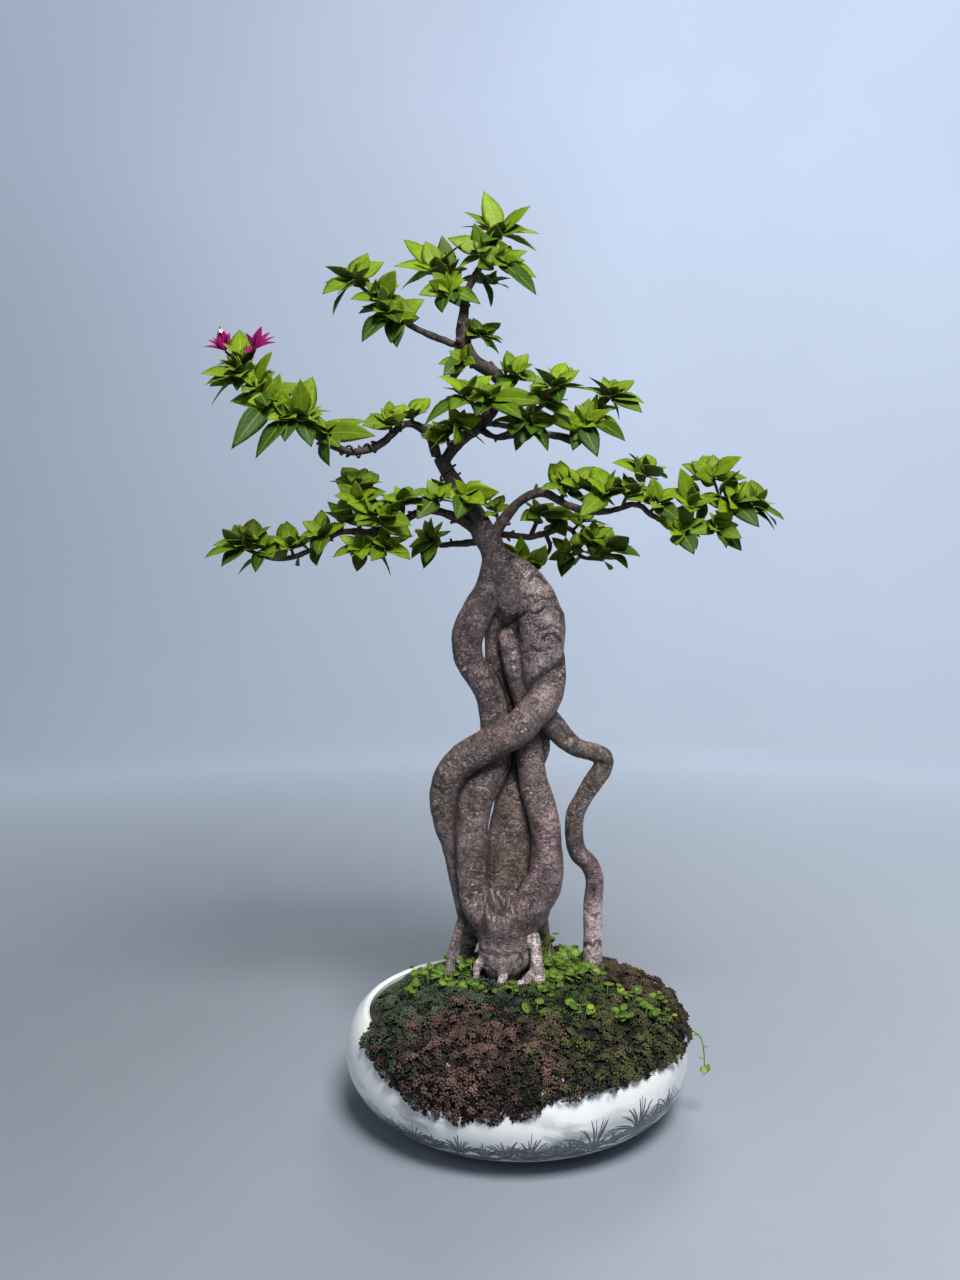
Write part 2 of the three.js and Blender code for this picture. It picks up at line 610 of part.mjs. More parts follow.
const drains = Array.from({ length: DRAIN_COUNT }, (_, i) => {
  const bearing = Math.PI / 2 + (i / DRAIN_COUNT) * Math.PI * 2;
  return [DRAIN_RING * Math.cos(bearing), DRAIN_RING * Math.sin(bearing)];
});

function makePot() {
  const holes = drains.map(([x, y]) => cylinder(DRAIN_RADIUS, FLOOR * CUT_THROUGH, x, y, 0));
  return turned(potProfile(0), POT_SIDES).subtract(join(holes));
}

function makeDrainMesh([x, y]) {
  const middle = FLOOR + GAP + MESH_THICKNESS / 2;
  const rows = [-MESH_PITCH, 0, MESH_PITCH];
  const holes = rows.flatMap((dx) => rows.map((dy) => (
    block(MESH_HOLE, MESH_HOLE, MESH_THICKNESS * CUT_THROUGH, x + dx, y + dy, middle))));
  return block(MESH_SIDE, MESH_SIDE, MESH_THICKNESS, x, y, middle).subtract(join(holes));
}

function meshPocket([x, y]) {
  const side = MESH_SIDE + 2 * GAP;
  const depth = MESH_THICKNESS + 2 * GAP;
  return block(side, side, 2 * depth, x, y, FLOOR);
}

function slab(height) {
  const side = BELLY_RADIUS * CUT_THROUGH;
  return block(side, side, height, 0, 0, height / 2);
}

function makeGravel() {
  return turned(soilProfile(0), POT_SIDES).intersect(slab(GRAVEL_TOP)).subtract(join(drains.map(meshPocket)));
}

function makeSoil(rootsClear) {
  return turned(soilProfile(0), POT_SIDES).subtract(slab(GRAVEL_TOP + GAP)).subtract(rootsClear);
}

// ---------------------------------------------------------------- ground cover solids

const coverCurve = (rows) => new THREE.SplineCurve(rows.map((row) => new THREE.Vector2(...row)));
const topCurve = coverCurve(coverTop);
const underCurve = coverCurve(coverUnder);

function reachAt(degrees) {
  const bearing = THREE.MathUtils.euclideanModulo(degrees + 180, 360) - 180;
  const after = Math.max(1, coverReach.findIndex(([limit]) => limit >= bearing));
  const [fromBearing, fromReach] = coverReach[after - 1];
  const [toBearing, toReach] = coverReach[after];
  return THREE.MathUtils.mapLinear(bearing, fromBearing, toBearing, fromReach, toReach);
}

function dipAt(degrees, step) {
  const { euclideanModulo, smoothstep } = THREE.MathUtils;
  const bearing = euclideanModulo(degrees, 360);
  const around = smoothstep(bearing, DIP_FROM, DIP_FROM + DIP_BLEND)
    - smoothstep(bearing, DIP_TO - DIP_BLEND, DIP_TO);
  return BACK_DIP * around * smoothstep(step, DIP_INNER_STEP, DIP_OUTER_STEP);
}

// A patch of cover between two bearings, or all the way round, from an inner to an outer step.
function coverPatch(fromDegrees, toDegrees, innerAt, outerAt) {
  const columns = Math.round((toDegrees - fromDegrees) / COVER_COLUMN_DEGREES);
  const loopSize = 2 * (COVER_ROWS + 1);
  const positions = [];
  for (let c = 0; c <= columns; c += 1) {
    const degrees = THREE.MathUtils.lerp(fromDegrees, toDegrees, c / columns);
    const bearing = THREE.MathUtils.degToRad(degrees);
    const steps = Array.from({ length: COVER_ROWS + 1 }, (_, r) => (
      THREE.MathUtils.lerp(innerAt(degrees), outerAt(degrees), r / COVER_ROWS)));
    const loop = steps.map((step) => {
      const top = topCurve.getPoint(step);
      top.y -= dipAt(degrees, step);
      return top;
    });
    loop.push(...steps.reverse().map((step) => underCurve.getPoint(step)));
    loop.forEach(({ x, y }) => positions.push(x * Math.cos(bearing), x * Math.sin(bearing), y));
  }
  const faces = [];
  const quad = (a, b, c, d) => faces.push(a, b, c, a, c, d);
  for (let c = 0; c < columns; c += 1) {
    for (let i = 0; i < loopSize; i += 1) {
      const next = (i + 1) % loopSize;
      quad(c * loopSize + i, c * loopSize + next, (c + 1) * loopSize + next, (c + 1) * loopSize + i);
    }
  }
  if (toDegrees - fromDegrees < 360) {
    const last = columns * loopSize;
    for (let r = 0; r < COVER_ROWS; r += 1) {
      const under = loopSize - 1 - r;
      quad(r, under, under - 1, r + 1);
      quad(last + r, last + r + 1, last + under - 1, last + under);
    }
  }
  const geometry = new THREE.BufferGeometry();
  geometry.setAttribute('position', new THREE.Float32BufferAttribute(positions, 3));
  geometry.setIndex(faces);
  return solid(geometry);
}

// The green moss runs all round, gives way to the round-leaved patch, and stops short of the kinds in front.
function greenReach(degrees) {
  const bearing = THREE.MathUtils.euclideanModulo(degrees + 180, 360) - 180;
  if (bearing >= PATCH_FROM && bearing <= PATCH_TO) return PATCH_INNER;
  return bearing >= PURPLE_FROM && bearing <= BROWN_TO ? FRONT_BAND : reachAt(bearing);
}

function makeGroundCover(rootsClear, runnerClear) {
  const held = join([turned(potProfile(GAP), POT_SIDES), turned(soilProfile(GAP), POT_SIDES)]);
  const [collarX, collarY, collarZ] = stump.at(-1);
  const collar = cylinder(COLLAR_RADIUS, COLLAR_HEIGHT, collarX, collarY, collarZ);
  const besideGreen = () => FRONT_BAND + COVER_SEAM;
  const sector = (from, to, innerAt, outerAt) => (
    coverPatch(from + SEAM_DEGREES, to - SEAM_DEGREES, innerAt, outerAt));
  const patches = {
    moss_green: [coverPatch(-180, 180, () => COVER_CORE, greenReach), mossGreen],
    moss_purple: [sector(PURPLE_FROM, OLIVE_FROM, besideGreen, reachAt), mossPurple],
    moss_olive: [sector(OLIVE_FROM, BROWN_FROM, besideGreen, reachAt), mossOlive],
    moss_brown: [sector(BROWN_FROM, BROWN_TO, besideGreen, reachAt), mossBrown],
    round_leaf_patch: [
      sector(PATCH_FROM, PATCH_TO, () => PATCH_INNER + COVER_SEAM, () => FRONT_BAND), roundLeafGreen],
  };
  const cutter = join([held, collar, rootsClear, runnerClear]);
  return Object.entries(patches).map(([name, [patch, material]]) => (
    nodeMesh(name, patch.subtract(cutter), material)));
}

// ---------------------------------------------------------------- shoots and leaves

// A leaf is a thin folded lens from its root to its tip, widest before the middle.
function leafBlade(root, tip, widthRatio, extra = 0) {
  const along = tip.clone().sub(root);
  const length = along.length();
  along.normalize();
  const across = new THREE.Vector3().crossVectors(along, new THREE.Vector3(0, 0, 1));
  if (across.length() < UPRIGHT_LEAF_LIMIT) across.set(1, 0, 0).projectOnPlane(along);
  across.normalize();
  const up = new THREE.Vector3().crossVectors(across, along);
  const at = (forward, sideways, lift) => root.clone()
    .addScaledVector(along, forward)
    .addScaledVector(across, sideways)
    .addScaledVector(up, lift);
  const widest = LEAF_WIDEST_AT * length;
  const halfWidth = (widthRatio * length) / 2 + extra;
  const thickness = LEAF_THICKNESS + extra;
  const fold = LEAF_FOLD * length;
  const geometry = new THREE.BufferGeometry().setFromPoints([
    root, at(widest, -halfWidth, fold), at(length + extra, 0, 0), at(widest, halfWidth, fold),
    at(widest, 0, -thickness),
  ]);
  const [start, left, end, right, keel] = [0, 1, 2, 3, 4];
  geometry.setIndex([
    start, end, left, start, right, end,
    start, left, keel, left, end, keel, end, right, keel, right, start, keel,
  ]);
  return solid(geometry);
}

// A tuft's end, the place on the stem that its twig grows from, and the way it points.
function tuftFrame(shoot, tuft) {
  const stem = curveOf(shoot.stem);
  const places = stem.getSpacedPoints(PLACES_ON_STEM);
  const end = new THREE.Vector3(...tuft);
  const index = nearest(end, places);
  const base = places[index];
  const onStem = end.distanceTo(base) < TWIG_BASE_RADIUS;
  const heading = onStem ? stem.getTangentAt(index / PLACES_ON_STEM) : end.clone().sub(base).normalize();
  return { base, end, heading, onStem };
}

function shootWood(shoot, extra = 0) {
  const twigs = shoot.tufts.map((tuft) => tuftFrame(shoot, tuft)).filter(({ onStem }) => !onStem);
  const parts = twigs.map(({ base, end }) => (
    limb([[...base, TWIG_BASE_RADIUS], [...end, TWIG_TIP_RADIUS]], TWIG_SIDES, TWIG_RING_SPACING, extra)));
  return join([limb(shoot.stem, STEM_SIDES, STEM_RING_SPACING, extra), ...parts]);
}

// Every leaf of a shoot as [root, tip]: the far ones first, then the tufts' own.
function leavesOf(shoot) {
  const frames = shoot.tufts.map((tuft) => tuftFrame(shoot, tuft));
  const rootOf = ({ end, heading }) => end.clone().addScaledVector(heading, -LEAF_ROOT);
  const ends = frames.map(({ end }) => end);
  const far = shoot.tips.map((place) => {
    const tip = new THREE.Vector3(...place);
    return [rootOf(frames[nearest(tip, ends)]), tip];
  });
  const count = shoot.leaves ?? LEAVES_PER_TUFT;
  const near = frames.flatMap((frame, t) => Array.from({ length: count }, (_, k) => {
    const age = count > 1 ? k / (count - 1) : 0;
    const sideways = new THREE.Vector3(1, 0, 0).projectOnPlane(frame.heading).normalize()
      .applyAxisAngle(frame.heading, k * GOLDEN_ANGLE + t * TUFT_PHASE);
    const spread = THREE.MathUtils.lerp(YOUNG_LEAF_SPREAD, OLD_LEAF_SPREAD, age);
    const length = (shoot.size ?? LEAF_LENGTH) * THREE.MathUtils.lerp(YOUNG_LEAF_SCALE, 1, age);
    const tip = frame.end.clone()
      .addScaledVector(frame.heading, length * Math.cos(spread))
      .addScaledVector(sideways, length * Math.sin(spread));
    tip.z -= length * LEAF_DROOP;
    return [rootOf(frame), tip];
  }));
  return [...far, ...near];
}

// ---------------------------------------------------------------- wires

function coiledWire({ route, from, to, coilRadius, turns }) {
  const spine = curveOf(route);
  const steps = Math.round(turns * WIRE_STEPS_PER_TURN);
  const at = (i) => THREE.MathUtils.lerp(from, to, i / steps);
  const way = spine.getPointAt(to).sub(spine.getPointAt(from)).normalize();
  const start = new THREE.Vector3(0, 1, 0).projectOnPlane(way).normalize();
  const points = Array.from({ length: steps + 1 }, (_, i) => {
    const tangent = spine.getTangentAt(at(i));
    const outwards = start.clone().applyAxisAngle(way, (i / steps) * turns * Math.PI * 2)
      .projectOnPlane(tangent).normalize();
    return [...spine.getPointAt(at(i)).addScaledVector(outwards, coilRadius), WIRE_RADIUS];
  });
  return limb(points, WIRE_SIDES, (2 * Math.PI * coilRadius) / WIRE_STEPS_PER_TURN);
}

// ---------------------------------------------------------------- assembly

const bonsai = new THREE.Group();
const placed = [];

function boundsOf(body) {
  return new THREE.Box3().setFromArray(body.getMesh().vertProperties);
}

function place(name, body, material) {
  placed.push({ name, body, bounds: boundsOf(body) });
  bonsai.add(nodeMesh(name, body, material));
}

const trunk = join(trunkRoutes.map((route) => limb(route, TRUNK_SIDES, TRUNK_RING_SPACING)));
const trunkClear = join(trunkRoutes.map((route) => limb(route, TRUNK_SIDES, TRUNK_RING_SPACING, CLEARANCE)));

bonsai.add(nodeMesh('pot', makePot(), glaze));
drains.forEach((drain, i) => bonsai.add(nodeMesh(`drain_mesh_${i + 1}`, makeDrainMesh(drain), plasticMesh)));
bonsai.add(nodeMesh('drainage_gravel', makeGravel(), gravelGrit));
bonsai.add(nodeMesh('soil', makeSoil(trunkClear), soilEarth));
place('trunk_and_roots', trunk, rootBark);

// Woody branches, each cut back to clear the trunk and the branches before it.
let woodClear = trunkClear;
for (const [name, route] of Object.entries(branchRoutes)) {
  place(name, limb(route, BRANCH_SIDES, BRANCH_RING_SPACING).subtract(woodClear), branchBark);
  woodClear = woodClear.add(limb(route, BRANCH_SIDES, BRANCH_RING_SPACING, CLEARANCE));
}

for (const [name, wire] of Object.entries(wires)) place(name, coiledWire(wire), wireMetal);

// Stems and twigs of all the shoots come first, so that the leaves can keep clear of them.
const plants = [];
function growWood(name, shoot, widthRatio, material) {
  const body = shootWood(shoot).subtract(woodClear);
  plants.push({ name, shoot, widthRatio, material, body, bounds: boundsOf(body) });
  woodClear = woodClear.add(shootWood(shoot, CLEARANCE));
}
for (const [name, shoot] of Object.entries(shoots)) {
  growWood(`leaves_${name}`, shoot, LEAF_WIDTH_RATIO, leafGreen);
}
for (const [name, shoot] of Object.entries(flowers)) {
  growWood(name, shoot, BRACT_WIDTH_RATIO, bractMagenta);
}

// A leaf that would touch another piece isn't grown.
const others = [...placed, ...plants];
for (const plant of plants) {
  for (const [root, tip] of leavesOf(plant.shoot)) {
    const guard = leafBlade(root, tip, plant.widthRatio, CLEARANCE);
    const guardBounds = boundsOf(guard);
    const blocked = others.some((other) => other.name !== plant.name
      && other.bounds.intersectsBox(guardBounds) && !other.body.intersect(guard).isEmpty());
    if (!blocked) {
      plant.body = plant.body.add(leafBlade(root, tip, plant.widthRatio));
      plant.bounds.union(guardBounds);
    }
  }
  bonsai.add(nodeMesh(plant.name, plant.body, plant.material));
}

makeGroundCover(trunkClear, shootWood(runner, CLEARANCE)).forEach((mesh) => bonsai.add(mesh));
const runnerBlades = leavesOf(runner).map(([root, tip]) => leafBlade(root, tip, ROUND_LEAF_WIDTH_RATIO));
bonsai.add(nodeMesh('trailing_runner', join([shootWood(runner), ...runnerBlades]), roundLeafGreen));

export default bonsai;
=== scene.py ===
"""A bougainvillea bonsai in a round white bowl: grown-together roots, wired branches, leafy shoots, bracts,
soil and living ground cover. Shapes are worked out in millimetres and built in metres.
The bowl's axis and underside are the origin, +Z is up and -Y is the tree's front.
"""

import math

import bpy
import numpy as np
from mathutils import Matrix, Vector, noise
from mathutils.kdtree import KDTree


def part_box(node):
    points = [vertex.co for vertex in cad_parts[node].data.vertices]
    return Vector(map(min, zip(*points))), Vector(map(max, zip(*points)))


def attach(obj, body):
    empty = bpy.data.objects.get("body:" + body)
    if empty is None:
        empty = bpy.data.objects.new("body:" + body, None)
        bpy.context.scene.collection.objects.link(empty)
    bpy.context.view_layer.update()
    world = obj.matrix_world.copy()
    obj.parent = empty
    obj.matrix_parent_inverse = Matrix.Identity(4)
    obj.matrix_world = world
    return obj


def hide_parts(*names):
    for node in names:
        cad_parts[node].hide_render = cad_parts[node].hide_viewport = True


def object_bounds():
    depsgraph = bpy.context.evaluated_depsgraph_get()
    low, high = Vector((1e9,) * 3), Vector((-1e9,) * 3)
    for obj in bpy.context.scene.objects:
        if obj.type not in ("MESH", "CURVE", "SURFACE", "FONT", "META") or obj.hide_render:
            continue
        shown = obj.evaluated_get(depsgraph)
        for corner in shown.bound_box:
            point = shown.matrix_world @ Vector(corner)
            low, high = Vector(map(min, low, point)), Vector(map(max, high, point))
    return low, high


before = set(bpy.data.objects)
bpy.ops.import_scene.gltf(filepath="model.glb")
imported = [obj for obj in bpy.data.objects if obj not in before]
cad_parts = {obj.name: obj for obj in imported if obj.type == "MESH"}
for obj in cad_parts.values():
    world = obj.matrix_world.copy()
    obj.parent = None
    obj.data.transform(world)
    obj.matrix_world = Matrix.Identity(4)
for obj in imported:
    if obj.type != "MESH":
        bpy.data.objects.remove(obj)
cad_low, cad_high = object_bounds()
MM = 0.001
UP = np.array([0.0, 0.0, 1.0])
GOLDEN_ANGLE = math.pi * (3 - math.sqrt(5))


# ------------------------------------------------------------------ camera, floor and light

CAMERA_PLACE = (-0.039, -1.060, 0.511)
CAMERA_TILT_DOWN = 1.03
CAMERA_LENS = 28.125
CAMERA_SENSOR = 36
FLOOR_RADIUS = 3.2
FLOOR_DROP = 0.0006
SWEEP_RADIUS = 1.4
SWEEP_HEIGHT = 6.0
FLOOR_PROFILE = [(0.001, 0), (0.6, 0), (FLOOR_RADIUS, 0)]
FLOOR_SIDES = 96
SWEEP_STEPS = 14
BACKDROP_GLOW = (0.44, 0.52, 0.64)
GLOW_LEFT, GLOW_RIGHT = -3.0, 0.8
SKY_COLOUR, SKY_STRENGTH = (0.76, 0.86, 1.0, 1), 0.155

# Each soft light: its name, its place, where it aims, its side in metres, its watts and its colour.
LIGHTS = [("key_light", (0.45, -1.65, 2.4), (0, 0, 0.5), 0.9, 120, (1.0, 0.985, 0.95)),
          ("fill_light", (-1.9, -1.1, 1.2), (0, 0, 0.4), 1.6, 7, (0.88, 0.94, 1.0)),
          ("back_light", (0.4, 1.7, 2.4), (0, 0, 0.6), 1.2, 34, (1.0, 0.99, 0.93))]


def placed(name, data):
    """A new object with the data, linked into the scene."""
    made = bpy.data.objects.new(name, data)
    bpy.context.collection.objects.link(made)
    return made


def place_camera():
    data = bpy.data.cameras.new("camera")
    data.sensor_fit = "VERTICAL"
    data.sensor_height = CAMERA_SENSOR
    data.lens = CAMERA_LENS
    data.clip_start = 0.01
    camera = placed("camera", data)
    camera.location = CAMERA_PLACE
    camera.rotation_euler = (math.radians(90 - CAMERA_TILT_DOWN), 0, 0)
    bpy.context.scene.camera = camera


def soft_light(name, place, aim, size, watts, colour):
    """A square light that the camera doesn't see; the one behind makes no highlights either."""
    data = bpy.data.lights.new(name, "AREA")
    data.size = size
    data.energy = watts
    data.color = colour
    light = placed(name, data)
    light.location = place
    light.rotation_euler = (Vector(aim) - Vector(place)).to_track_quat("-Z", "Y").to_euler()
    light.visible_camera = False
    light.visible_glossy = name != "back_light"


def light_the_studio():
    for settings in LIGHTS:
        soft_light(*settings)
    world = bpy.data.worlds.new("studio_air")
    bpy.context.scene.world = world
    world.use_nodes = True
    background = world.node_tree.nodes["Background"]
    background.inputs["Color"].default_value = SKY_COLOUR
    background.inputs["Strength"].default_value = SKY_STRENGTH
    bpy.context.scene.view_settings.view_transform = "Standard"
    bpy.context.scene.view_settings.look = "None"


# ------------------------------------------------------------------ curves and noise

def drift(points, size, seed=0.0):
    """Smooth noise from about -1 to 1 at each point, in lumps of the given size."""
    shifted = np.asarray(points, float) / size + seed
    return np.array([noise.noise(place) for place in shifted])


def smoothstep(low, high, value):
    t = np.clip((value - low) / (high - low), 0, 1)
    return t * t * (3 - 2 * t)


def circle(count):
    """Angles spread evenly over a full turn."""
    return np.linspace(0, 2 * math.pi, count, endpoint=False)


def unit(vectors):
    return vectors / np.maximum(np.linalg.norm(vectors, axis=-1, keepdims=True), 1e-9)


def dense_curve(route, per_span=14):
    """Points on a centripetal Catmull-Rom curve through a route; further columns follow along."""
    route = np.array(route, float)
    if len(route) == 2:
        return route
    p = np.vstack([2 * route[0] - route[1], route, 2 * route[-1] - route[-2]])
    gaps = np.maximum(np.linalg.norm(np.diff(p[:, :3], axis=0), axis=1), 1e-6) ** 0.5
    t = np.linspace(0, 1, per_span, endpoint=False)[:, None]
    spans = []
    for i in range(1, len(p) - 2):
        before, span, after = gaps[i - 1:i + 2]
        a, b, c, d = p[i - 1:i + 3]
        leaving = ((b - a) / before - (c - a) / (before + span) + (c - b) / span) * span
        arriving = ((c - b) / span - (d - b) / (span + after) + (d - c) / after) * span
        spans.append(b + t * leaving + t ** 2 * (3 * (c - b) - 2 * leaving - arriving)
                     + t ** 3 * (2 * (b - c) + leaving + arriving))
    return np.vstack([*spans, route[-1:]])


def evenly(route, spacing):
    """A route as evenly spaced samples."""
    dense = dense_curve(route)
    steps = np.linalg.norm(np.diff(dense[:, :3], axis=0), axis=1)
    travelled = np.concatenate([[0], np.cumsum(steps)])
    count = max(3, round(travelled[-1] / spacing) + 1)
    wanted = np.linspace(0, travelled[-1], count)
    return np.column_stack([np.interp(wanted, travelled, column) for column in dense.T])


def frames_along(centres):
    """Tangents and two cross directions that don't twist along a line of points."""
    tangents = unit(np.gradient(centres, axis=0))
    side = np.cross(tangents[0], UP if abs(tangents[0][2]) < 0.9 else [1.0, 0.0, 0.0])
    sides = []
    for tangent in tangents:
        side = side - tangent * (side @ tangent)
        side = side / np.linalg.norm(side)
        sides.append(side)
    sides = np.array(sides)
    return tangents, sides, np.cross(tangents, sides)


# ------------------------------------------------------------------ putting meshes together
# A limb's ends are blunt cones, as long as these shares of its radius.

FOOT_BULGE, TIP_BULGE = 0.5, 0.6


class Growth:
    """Points, faces and named point values of one piece while it is put together, in millimetres."""

    def __init__(self):
        self.points, self.faces, self.values, self.count = [], [], {}, 0

    def add(self, points, faces, **values):
        points = np.asarray(points, float)
        self.faces.extend((np.asarray(group) + self.count).tolist() for group in faces)
        for name in {**self.values, **values}:
            given = values.get(name, 0.0)
            column = self.values.setdefault(name, [np.zeros(self.count)] if self.count else [])
            column.append(np.broadcast_to(np.asarray(given, float), (len(points),)))
        self.points.append(points)
        self.count += len(points)

    def mesh(self, name):
        points = np.vstack(self.points) * MM
        faces = [face for group in self.faces for face in group]
        made = bpy.data.meshes.new(name)
        made.from_pydata(points.tolist(), [], faces)
        point_values(made, **{label: np.concatenate(columns) for label, columns in self.values.items()})
        made.shade_smooth()
        return made


def set_piece(name, mesh, material, slot, *nodes):
    """Links a mesh as a piece of the bonsai, with its finish and the nodes that it stands for."""
    piece = placed(name, mesh)
    mesh.materials.append(material)
    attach(piece, "root")
    if nodes:
        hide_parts(*nodes)


def grid_faces(rings, around):
    """Quads between rings of points, each ring running round."""
    ring = np.arange(rings - 1)[:, None] * around
    here = np.arange(around)[None, :]
    following = (here + 1) % around
    corners = [ring + here, ring + following, ring + around + following, ring + around + here]
    return np.stack(corners, axis=-1).reshape(-1, 4)


def end_fans(rings, around):
    """Triangles from the first and the last ring to two points that come after all the rings."""
    here = np.arange(around)
    after = (here + 1) % around
    first, last = rings * around, rings * around + 1
    final = (rings - 1) * around
    return np.vstack([np.stack([after, here, np.full(around, first)], 1),
                      np.stack([final + here, final + after, np.full(around, last)], 1)])


def add_tube(growth, route, sides, spacing, rough=0.0, rough_size=9.0, seed=0.0, **values):
    """A closed round limb along a route of [x, y, z, radius], with an uneven skin."""
    samples = evenly(route, spacing)
    centres, radii = samples[:, :3], samples[:, 3]
    tangents, sides_a, sides_b = frames_along(centres)
    turn = circle(sides)
    outwards = (sides_a[:, None] * np.cos(turn)[None, :, None]
                + sides_b[:, None] * np.sin(turn)[None, :, None])
    skin = centres[:, None] + outwards * radii[:, None, None]
    if rough:
        lumps = drift(skin.reshape(-1, 3), rough_size, seed).reshape(skin.shape[:2])
        skin = skin + outwards * (lumps * rough)[..., None]
    points = np.vstack([skin.reshape(-1, 3),
                        centres[0] - tangents[0] * radii[0] * FOOT_BULGE,
                        centres[-1] + tangents[-1] * radii[-1] * TIP_BULGE])
    growth.add(points, [grid_faces(len(centres), sides), end_fans(len(centres), sides)], **values)
    return samples


def evaluated_mesh(piece, name):
    """The piece's mesh with its modifiers applied, and the piece itself removed."""
    depsgraph = bpy.context.evaluated_depsgraph_get()
    made = bpy.data.meshes.new_from_object(piece.evaluated_get(depsgraph))
    made.name = name
    spare = piece.data
    bpy.data.objects.remove(piece)
    bpy.data.meshes.remove(spare)
    return made


def points_of(mesh):
    """The mesh's points in millimetres."""
    flat = np.zeros(len(mesh.vertices) * 3)
    mesh.vertices.foreach_get("co", flat)
    return flat.reshape(-1, 3) / MM


def normals_of(mesh):
    flat = np.zeros(len(mesh.vertices) * 3, np.float32)
    mesh.vertices.foreach_get("normal", flat)
    return flat.reshape(-1, 3).astype(float)


def move_points(mesh, points):
    mesh.vertices.foreach_set("co", (points * MM).ravel())
    mesh.update()


def point_values(mesh, **values):
    for label, column in values.items():
        layer = mesh.attributes.new(label, "FLOAT", "POINT")
        layer.data.foreach_set("value", np.asarray(column, np.float32))


# ------------------------------------------------------------------ material building blocks
# Colours are (red, green, blue), and distances inside a finish are in metres.

BLACK = (0, 0, 0)
BLOOM_CREAM = (0.82, 0.80, 0.66)


class Finish:
    """A material, or a shared group, being wired up."""

    def __init__(self, tree):
        self.tree = tree

    def node(self, kind, inputs=None, **settings):
        made = self.tree.nodes.new("ShaderNode" + kind)
        for name, value in settings.items():
            setattr(made, name, value)
        for label, value in (inputs or {}).items():
            self.feed(made.inputs[label], value)
        return made

    def feed(self, socket, value):
        if isinstance(value, bpy.types.NodeSocket):
            self.tree.links.new(value, socket)
        elif socket.type == "RGBA":
            socket.default_value = (*value, 1)
        else:
            socket.default_value = value

    def math(self, operation, a, b=0.0):
        made = self.node("Math", operation=operation)
        self.feed(made.inputs[0], a)
        self.feed(made.inputs[1], b)
        return made.outputs[0]

    def times(self, a, b):
        return self.math("MULTIPLY", a, b)

    def total(self, *shares):
        """The sum of (value, share) pairs."""
        first, *others = (self.times(value, share) for value, share in shares)
        for other in others:
            first = self.math("ADD", first, other)
        return first

    def mix(self, factor, a, b, blend="MIX"):
        made = self.node("Mix", data_type="RGBA", blend_type=blend)
        for socket, value in ((0, factor), (6, a), (7, b)):
            self.feed(made.inputs[socket], value)
        return made.outputs[2]

    def painted(self, colour, *coats):
        """A colour under coats of (mask, strength, colour), each over the one before."""
        for mask, strength, coat in coats:
            colour = self.mix(self.times(mask, strength), colour, coat)
        return colour

    def ramp(self, value, low, high, to_low=0.0, to_high=1.0):
        made = self.node("MapRange", {"Value": value, "From Min": low, "From Max": high,
                                      "To Min": to_low, "To Max": to_high}, clamp=True)
        return made.outputs[0]

    def noise(self, vector, scale, detail=3.0, distortion=0.0):
        made = self.node("TexNoise", {"Vector": vector, "Scale": scale, "Detail": detail,
                                      "Distortion": distortion})
        return made.outputs["Fac"]

    def stretched(self, vector, scale):
        return self.node("Mapping", {"Vector": vector, "Scale": scale}).outputs[0]

    def value(self, label):
        return self.node("Attribute", attribute_name=label).outputs["Fac"]

    def place(self):
        return self.node("TexCoord").outputs["Object"]

    def axes(self):
        return self.node("SeparateXYZ", {"Vector": self.place()}).outputs

    def group(self, group, **inputs):
        made = self.node("Group", node_tree=group)
        for label, value in inputs.items():
            self.feed(made.inputs[label.capitalize()], value)
        return made.outputs


def new_group(name, inputs, outputs):
    """A shared effect: its wiring, its input sockets and the node that its results go to."""
    tree = bpy.data.node_groups.new(name, "ShaderNodeTree")
    for way, sockets in (("INPUT", inputs), ("OUTPUT", outputs)):
        for label, kind in sockets.items():
            tree.interface.new_socket(label, in_out=way, socket_type="NodeSocket" + kind)
    given, result = (tree.nodes.new("NodeGroup" + way) for way in ("Input", "Output"))
    return Finish(tree), given.outputs, result.inputs


def new_finish(name, roughness=0.6, **constants):
    """A material with one Principled surface and its constant sockets set."""
    material = bpy.data.materials.new(name)
    material.use_nodes = True
    surface = material.node_tree.nodes["Principled BSDF"]
    surface.inputs["Roughness"].default_value = roughness
    for label, value in constants.items():
        surface.inputs[label.replace("_", " ")].default_value = value
    return material, Finish(material.node_tree), surface.inputs


def bump(finish, sockets, height, distance, strength=1.0):
    made = finish.node("Bump", {"Height": height, "Distance": distance, "Strength": strength})
    finish.feed(sockets["Normal"], made.outputs[0])


def mottle_group():
    """Patchy change between two colours, in big and small patches."""
    fineness, big_share, softness = 5.3, 0.65, 0.1
    finish, given, result = new_group(
        "mottle",
        {"Vector": "Vector", "Light": "Color", "Dark": "Color", "Scale": "Float", "Contrast": "Float"},
        {"Colour": "Color", "Mask": "Float"})
    big = finish.noise(given["Vector"], given["Scale"], 2)
    fine = finish.noise(given["Vector"], finish.times(given["Scale"], fineness), 4)
    both = finish.total((big, big_share), (fine, 1 - big_share))
    spread = finish.times(finish.math("SUBTRACT", both, 0.5), given["Contrast"])
    mask = finish.ramp(spread, -softness, softness)
    finish.feed(result["Mask"], mask)
    finish.feed(result["Colour"], finish.mix(mask, given["Dark"], given["Light"]))
    return finish.tree


def grain_group():
    """Crumbly relief: coarse lumps, four times as big, under fine ones."""
    finish, given, result = new_group(
        "grain", {"Vector": "Vector", "Scale": "Float", "Coarse": "Float"}, {"Height": "Float"})
    coarse = finish.noise(given["Vector"], finish.times(given["Scale"], 1 / 4), 2)
    fine = finish.noise(given["Vector"], given["Scale"], 4)
    finish.feed(result["Height"], finish.total((coarse, given["Coarse"]), (fine, 1)))
    return finish.tree


